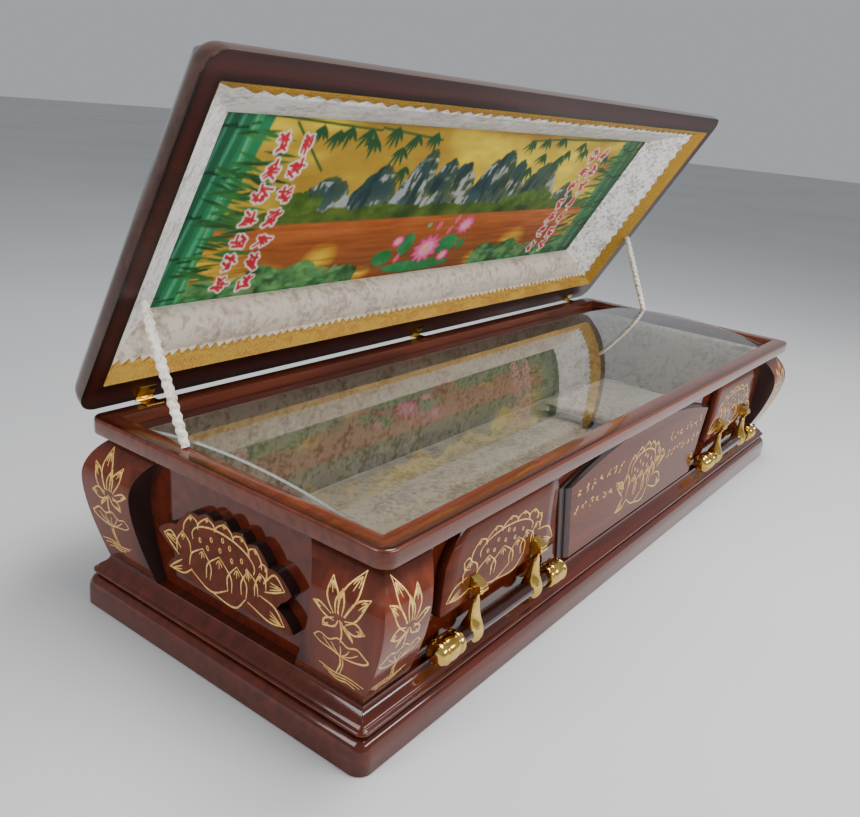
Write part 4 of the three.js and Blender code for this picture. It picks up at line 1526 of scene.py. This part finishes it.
@dataclass
class LidPicture:
    """The landscape in the lid, painted on the cloth by code: hills, lake, bamboo and a lotus."""

    finishes: Finishes
    width: int = 1700
    height: int = 430
    pitch: float = 3.0
    plane: float = 381 + 98.6

    def __post_init__(self) -> None:
        """Lays out the canvas."""
        self.cols, self.rows = int(self.width / self.pitch) + 1, int(self.height / self.pitch) + 1
        self.u, self.r = np.meshgrid(np.arange(self.cols) * self.pitch, np.arange(self.rows) * self.pitch)
        self.canvas = np.zeros((self.rows, self.cols, 3))
        self.pick = np.random.default_rng(11)

    def cloudy(self, scale_u: float, scale_r: float, seed: int) -> np.ndarray:
        """Gives smooth repeatable noise over the canvas.

        Args:
            scale_u: size of its blots along the picture.
            scale_r: size of its blots down the picture.
            seed: picks the pattern.

        Returns:
            Values from 0 to 1.
        """
        total, weight, amount = np.zeros_like(self.u), 0.0, 1.0
        for octave in range(4):
            grid = np.random.default_rng(seed + octave).random((64, 64))
            x, y = self.u / scale_u * 2 ** octave % 63, self.r / scale_r * 2 ** octave % 63
            i, j = x.astype(int), y.astype(int)
            fx, fy = x - i, y - j
            fx, fy = fx * fx * (3 - 2 * fx), fy * fy * (3 - 2 * fy)
            total += amount * ((grid[j, i] * (1 - fx) + grid[j, i + 1] * fx) * (1 - fy)
                               + (grid[j + 1, i] * (1 - fx) + grid[j + 1, i + 1] * fx) * fy)
            weight += amount
            amount *= 0.55
        return total / weight

    def paint(self, mask: np.ndarray, colour: Sequence[float] | np.ndarray) -> None:
        """Lays a colour where the mask is."""
        mask = np.clip(mask, 0, 1)[..., None]
        self.canvas = self.canvas * (1 - mask) + np.asarray(colour, float) * mask

    def stroke(self, a: Flat, b: Flat, wide: float, colour: Sequence[float], leaf: bool = False,
               taper: float = 1.0,
               strength: float = 1.0) -> None:
        """Paints one stroke.

        Args:
            a: where it starts.
            b: where it ends.
            wide: half its width.
            colour: its colour.
            leaf: makes it widest in its middle.
            taper: share of its width that is left at its end.
            strength: how far it covers what is under it.
        """
        pad = wide + 4
        c0, c1 = int((min(a[0], b[0]) - pad) / self.pitch), int((max(a[0], b[0]) + pad) / self.pitch) + 2
        r0, r1 = int((min(a[1], b[1]) - pad) / self.pitch), int((max(a[1], b[1]) + pad) / self.pitch) + 2
        c0, r0, c1, r1 = max(c0, 0), max(r0, 0), min(c1, self.cols), min(r1, self.rows)
        if c1 <= c0 or r1 <= r0:
            return
        u, r = self.u[r0:r1, c0:c1] - a[0], self.r[r0:r1, c0:c1] - a[1]
        dx, dy = b[0] - a[0], b[1] - a[1]
        length = max(dx * dx + dy * dy, 1e-6)
        t = np.clip((u * dx + r * dy) / length, 0, 1)
        gap = np.hypot(u - t * dx, r - t * dy)
        half = wide * (np.sin(np.pi * np.clip(t, 0.02, 0.98)) ** 0.8 if leaf else 1 - (1 - taper) * t)
        mask = np.clip((half - gap) / self.pitch + 0.5, 0, 1)[..., None] * strength
        part = self.canvas[r0:r1, c0:c1]
        self.canvas[r0:r1, c0:c1] = part * (1 - mask) + np.asarray(colour, float) * mask

    def oval(self, u: float, r: float, a: float, b: float) -> np.ndarray:
        """Gives a soft-edged oval mask."""
        d = np.hypot((self.u - u) / a, (self.r - r) / b)
        return np.clip((1 - d) * min(a, b) / self.pitch + 0.5, 0, 1)

    def paint_land(self) -> None:
        """Paints sky, hills, shore and lake."""
        clouds = self.cloudy(260, 90, 1)
        self.canvas[:] = np.array((176, 138, 40))
        self.paint((self.r / 240) ** 1.5 * 0.8, (226, 196, 58))
        self.paint((clouds - 0.47) * 3.4, (250, 222, 58))
        self.paint((0.46 - clouds) * 3.0, (150, 108, 34))
        rocks, fine, crags = self.cloudy(60, 40, 7), self.cloudy(26, 22, 9), self.cloudy(15, 52, 41)
        peaks = [(1380, 155, 90), (1200, 80, 130), (350, 124, 105), (500, 104, 100), (1050, 82, 88),
                 (800, 92, 110), (735, 82, 88),
                 (920, 80, 62), (640, 62, 84), (965, 52, 108)]
        for k, (u, top, half) in enumerate(peaks):
            d = np.abs(self.u - u) / half
            line = top + (225 - top) * np.clip(d, 0, 1) ** 1.7 + (fine - 0.5) * 26
            body = np.clip((self.r - line) / 5, 0, 1) * (d < 1.02) * (self.r < 232)
            lit = np.clip((self.u - u) / half * 0.8 + 0.3 + (rocks - 0.5) * 2, 0, 1)
            base = np.array((38, 70, 74)) * (1 - lit[..., None]) + np.array((86, 98, 50)) * lit[..., None]
            haze = np.clip((self.r - 165) / 110, 0, 0.45)[..., None]
            self.paint(body * (0.85 if k in (0, 1) else 0.97), base * (1 - haze) + np.array((118, 132, 118))
                       * haze)
            self.paint(body * np.clip((0.44 - crags) * 7, 0, 0.7), (20, 44, 48))
            self.paint(body * np.clip((crags + rocks - 1.06) * 6, 0, 0.75) * (self.r > top + 22),
                       (204, 202, 206))
        shore = np.clip((self.r - 210 - (fine - 0.5) * 26) / 5, 0, 1)
        self.paint(shore, np.array((58, 84, 30)) + (rocks[..., None] - 0.4) * np.array((110, 100, 30)))
        for u, r, a, b in ((290, 196, 58, 30), (1218, 202, 105, 26), (1120, 212, 70, 18), (560, 218, 70, 14)):
            self.paint(self.oval(u, r, a, b) * (fine > 0.3),
                       np.array((76, 108, 34)) + (fine[..., None] - 0.5) * 90)
        water = np.clip((self.r - 245) / 2, 0, 1)
        ripples = self.cloudy(120, 7, 21)
        tone = np.array((186, 98, 42)) + (ripples[..., None] - 0.5) * np.array((80, 60, 34))
        tone = tone * (1 - 0.25 * np.clip((self.r - 250) / 120, 0, 1)[..., None])
        self.paint(water, tone)
        for u, r, a, b in ((90, 330, 130, 76), (230, 380, 120, 44), (430, 352, 60, 56), (1250, 352, 74, 50),
                           (1570, 300, 120, 60),
                           (1660, 360, 90, 70), (1100, 400, 60, 30), (600, 405, 50, 24)):
            glow = np.clip(1 - np.hypot((self.u - u) / a, (self.r - r) / b), 0, 1) ** 0.7
            self.paint(glow * water * np.clip(ripples * 2.2 - 0.35, 0, 1), (252, 216, 50))

    def paint_plants(self) -> None:
        """Paints the foliage, the lotus and the bamboo."""
        leaves = self.cloudy(34, 26, 31)
        low = 366 + 16 * np.sin(self.u / 70) + 12 * np.sin(self.u / 23)
        edge = np.clip((self.r - low) / 4, 0, 1) * (((self.u < 590) & (self.r > low)) | (self.u > 1080))
        self.paint(edge, np.array((62, 112, 62)) + (leaves[..., None] - 0.45) * np.array((150, 190, 110)))
        for _ in range(90):
            u = self.pick.choice([self.pick.uniform(0, 580), self.pick.uniform(1090, 1700)])
            r = self.pick.uniform(372, 425)
            self.paint(self.oval(u, r, self.pick.uniform(8, 17), self.pick.uniform(4, 7)) * 0.8,
                       (self.pick.uniform(70, 130), self.pick.uniform(130, 180), self.pick.uniform(80, 120)))
        for u, r, a, b in ((830, 402, 142, 19), (665, 366, 36, 24), (735, 330, 27, 34), (920, 342, 44, 32),
                           (986, 344, 15, 19)):
            self.paint(self.oval(u, r, a, b), np.array((34, 132, 72)) + (leaves[..., None] - 0.5) * 60)
        for u, r, size in ((835, 350, 58), (955, 282, 38), (695, 318, 24), (930, 378, 26)):
            for ring_size, tone in ((1.0, (226, 66, 134)), (0.78, (238, 104, 160)), (0.5, (250, 158, 194))):
                for k in range(11):
                    a = k / 11 * 2 * math.pi + ring_size * 5
                    tip = (u + size * ring_size * math.cos(a), r + size * ring_size * 0.82 * math.sin(a))
                    self.stroke((u, r), tip, size * 0.2, tone, leaf=True)
            self.paint(self.oval(u, r + 2, size * 0.16, size * 0.14), (240, 196, 90))
        for u, r in ((835, 278), (902, 262), (893, 296), (728, 372)):
            self.stroke((u, r + 16), (u, r - 16), 10, (232, 86, 128), leaf=True)
        self.paint(self.oval(790, 274, 9, 8), (110, 170, 120))
        for u0, u1, wide, tone in ((60, 6, 17, (24, 104, 66)), (100, 44, 24, (30, 126, 78)),
                                   (30, -16, 15, (18, 84, 56)), (84, 70, 8, (60, 150, 90)),
                                   (1590, 1622, 22, (44, 100, 62)), (1640, 1666, 26, (36, 88, 56)),
                                   (1690, 1700, 18, (30, 76, 50)), (1570, 1606, 9, (70, 124, 74))):
            self.stroke((u0, -10), (u1, 440), wide, tone)
            self.stroke((u0 - wide * 0.35, -10), (u1 - wide * 0.35, 440), wide * 0.22,
                        [c + 58 for c in tone], strength=0.7)
            for k in range(5):
                r = 20 + k * 92 + wide
                u = u0 + (u1 - u0) * r / 430
                self.stroke((u - wide, r), (u + wide, r - 3), 2.4, [c * 0.45 for c in tone])
        for _ in range(130):
            side = self.pick.random() < 0.5
            u = self.pick.uniform(20, 130) if side else self.pick.uniform(1560, 1690)
            r, way = self.pick.uniform(20, 380), (1 if side else -1)
            reach, slope = self.pick.uniform(40, 110), self.pick.uniform(-0.25, 0.75)
            shade = self.pick.uniform(0.5, 1.1)
            self.stroke((u, r), (u + way * reach, r + reach * slope * 0.5), self.pick.uniform(2.5, 5),
                        (48 * shade, 122 * shade, 58 * shade), leaf=True)
        for a, b in (((100, 8), (420, 26)), ((420, 20), (640, 40)), ((1020, 30), (1180, 20)),
                     ((1180, 20), (1560, 12)), ((180, 20), (300, 120))):
            self.stroke(a, b, 2.6, (52, 90, 38))
        for u, r in ((250, 22), (300, 30), (330, 22), (415, 42), (390, 24), (515, 62), (545, 30), (610, 22),
                     (560, 108), (470, 16), (1035, 26), (1095, 104), (1130, 62), (1180, 14), (1250, 50),
                     (1225, 66), (1310, 24), (1345, 44), (1100, 18), (1500, 60)):
            for k in range(5):
                a = math.radians(90 + (k - 2) * self.pick.uniform(18, 26))
                reach = self.pick.uniform(32, 56)
                self.stroke((u, r), (u + reach * math.cos(a), r + reach * math.sin(a)), 4.4, (26, 78, 44),
                            leaf=True)

    def paint_marks(self) -> None:
        """Paints two rows of red clusters with white edges at each side, which are no letters."""
        for u in (168, 228, 1415, 1480):
            for k in range(7):
                middle = 64 + k * 54
                lines = []
                for _ in range(8):
                    a = self.pick.choice([0.1, 0.75, 1.45, 2.4])
                    x, y = u + self.pick.uniform(-12, 12), middle + self.pick.uniform(-15, 15)
                    reach = self.pick.uniform(7, 15)
                    dx, dy = math.cos(a) * reach, math.sin(a) * reach * 0.8
                    lines.append(((x - dx, y - dy), (x + dx, y + dy)))
                for a, b in lines:
                    self.stroke(a, b, 7.0, (246, 240, 230))
                for a, b in lines:
                    self.stroke(a, b, 3.4, (200, 28, 46), taper=0.7)

    def build(self) -> None:
        """Paints the cloth and makes the piece."""
        self.paint_land()
        self.paint_plants()
        self.paint_marks()
        form = Sculpt()
        rows = [raised([(-850 + self.u[j, i], -204 + self.r[j, i], self.plane) for i in range(self.cols)])
                for j in range(self.rows)]
        form.loft(rows, caps=False, open_loop=True)
        made = form.build("landscape_cloth", [self.finishes.cloth], 80, 1e-9)
        screen = np.clip(self.canvas.reshape(-1, 3) / 255, 0, 1)
        linear = np.where(screen < 0.04045, screen / 12.92, ((screen + 0.055) / 1.055) ** 2.4)
        layer = made.data.color_attributes.new("print", "FLOAT_COLOR", "POINT")
        layer.data.foreach_set("color",
                               np.hstack([linear, np.ones((len(linear), 1))]).astype(np.float32).ravel())
        place(made, "lid", "picture", "picture_panel")


@dataclass
class Studio:
    """Camera, floor and soft light."""

    location: Point = (-1.84195, -0.94769, 0.94165)
    angles: Point = (53.59, -21.41, 5.59)
    lens: float = 36.19
    shift: Flat = (0.0492, 0.0432)

    def build(self) -> None:
        """Sets everything up."""
        self.build_camera()
        self.build_floor()
        self.build_lights()

    def build_camera(self) -> None:
        """Stands the camera where the photograph was taken."""
        yaw, pitch, roll = (math.radians(a) for a in self.angles)
        forward = Vector((math.sin(yaw) * math.cos(pitch), math.cos(yaw) * math.cos(pitch), math.sin(pitch)))
        right = forward.cross(Vector((0, 0, 1))).normalized()
        up = right.cross(forward)
        right, up = right * math.cos(roll) + up * math.sin(roll), up * math.cos(roll) - right * math.sin(roll)
        data = bpy.data.cameras.new("photo_camera")
        data.sensor_width, data.lens = 36, self.lens
        data.shift_x, data.shift_y = self.shift
        data.clip_start, data.clip_end = 0.05, 100
        camera = bpy.data.objects.new("photo_camera", data)
        turn = Matrix((right, up, -forward)).transposed()
        camera.matrix_world = Matrix.Translation(Vector(self.location)) @ turn.to_4x4()
        bpy.context.scene.collection.objects.link(camera)
        bpy.context.scene.camera = camera

    def build_floor(self) -> None:
        """Lays a plain pale floor."""
        form = Sculpt()
        corners = [(-30000, -30000, -0.3), (30000, -30000, -0.3), (30000, 30000, -0.3), (-30000, 30000, -0.3)]
        form.loft([corners[:2], [corners[3], corners[2]]], caps=False, open_loop=True)
        g = Graph("pale_floor")
        g.set(Base_Color=g.ramp(g.noise(0.6, 2), (0.3, (0.53, 0.53, 0.54, 1)), (0.7, (0.58, 0.58, 0.58, 1))),
              Roughness=0.7)
        floor = form.build("floor", [g.material])

    def build_lights(self) -> None:
        """Hangs the soft lights and fills the room with pale light."""
        world = bpy.data.worlds.new("pale_room")
        bpy.context.scene.world = world
        world.use_nodes = True
        shade = next(n for n in world.node_tree.nodes if n.type == "BACKGROUND")
        shade.inputs["Color"].default_value = (0.86, 0.9, 0.95, 1)
        shade.inputs["Strength"].default_value = 0.46
        self.lamp("overhead", (0.3, -0.6, 3.6), (0, 0, 0.2), 2.6, 1.4, 165)
        self.lamp("left_box", (-3.4, 0.6, 1.9), (0, 0, 0.3), 1.0, 2.0, 50)
        self.lamp("front_box", (0.2, -3.2, 1.8), (0, 0, 0.2), 3.2, 0.5, 95)

    @staticmethod
    def lamp(name: str, where: Point, target: Point, wide: float, high: float, power: float) -> None:
        """Hangs one soft box, turned to a target.

        Args:
            name: the lamp's name.
            where: its place, in metres.
            target: the point that it faces.
            wide: its width.
            high: its height.
            power: its power in watts.
        """
        data = bpy.data.lights.new(name, "AREA")
        data.shape, data.size, data.size_y, data.energy = "RECTANGLE", wide, high, power
        lamp = bpy.data.objects.new(name, data)
        lamp.location = where
        lamp.rotation_mode = "QUATERNION"
        lamp.rotation_quaternion = (Vector(target) - Vector(where)).to_track_quat("-Z", "Y")
        bpy.context.scene.collection.objects.link(lamp)


def main() -> None:
    """Builds the coffin, piece by piece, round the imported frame."""
    logging.basicConfig(level=logging.INFO, format="%(name)s %(message)s")
    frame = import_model()
    nodes = frame["nodes"]
    Studio().build()
    finishes = Finishes()
    Case(finishes).build(nodes)
    for side in Side:
        for end in End:
            SwingHandle(finishes, side, end).build()
    Bed(finishes).build()
    Lid(finishes).build(nodes)
    bpy.context.view_layer.update()


if __name__ == "__main__":
    main()
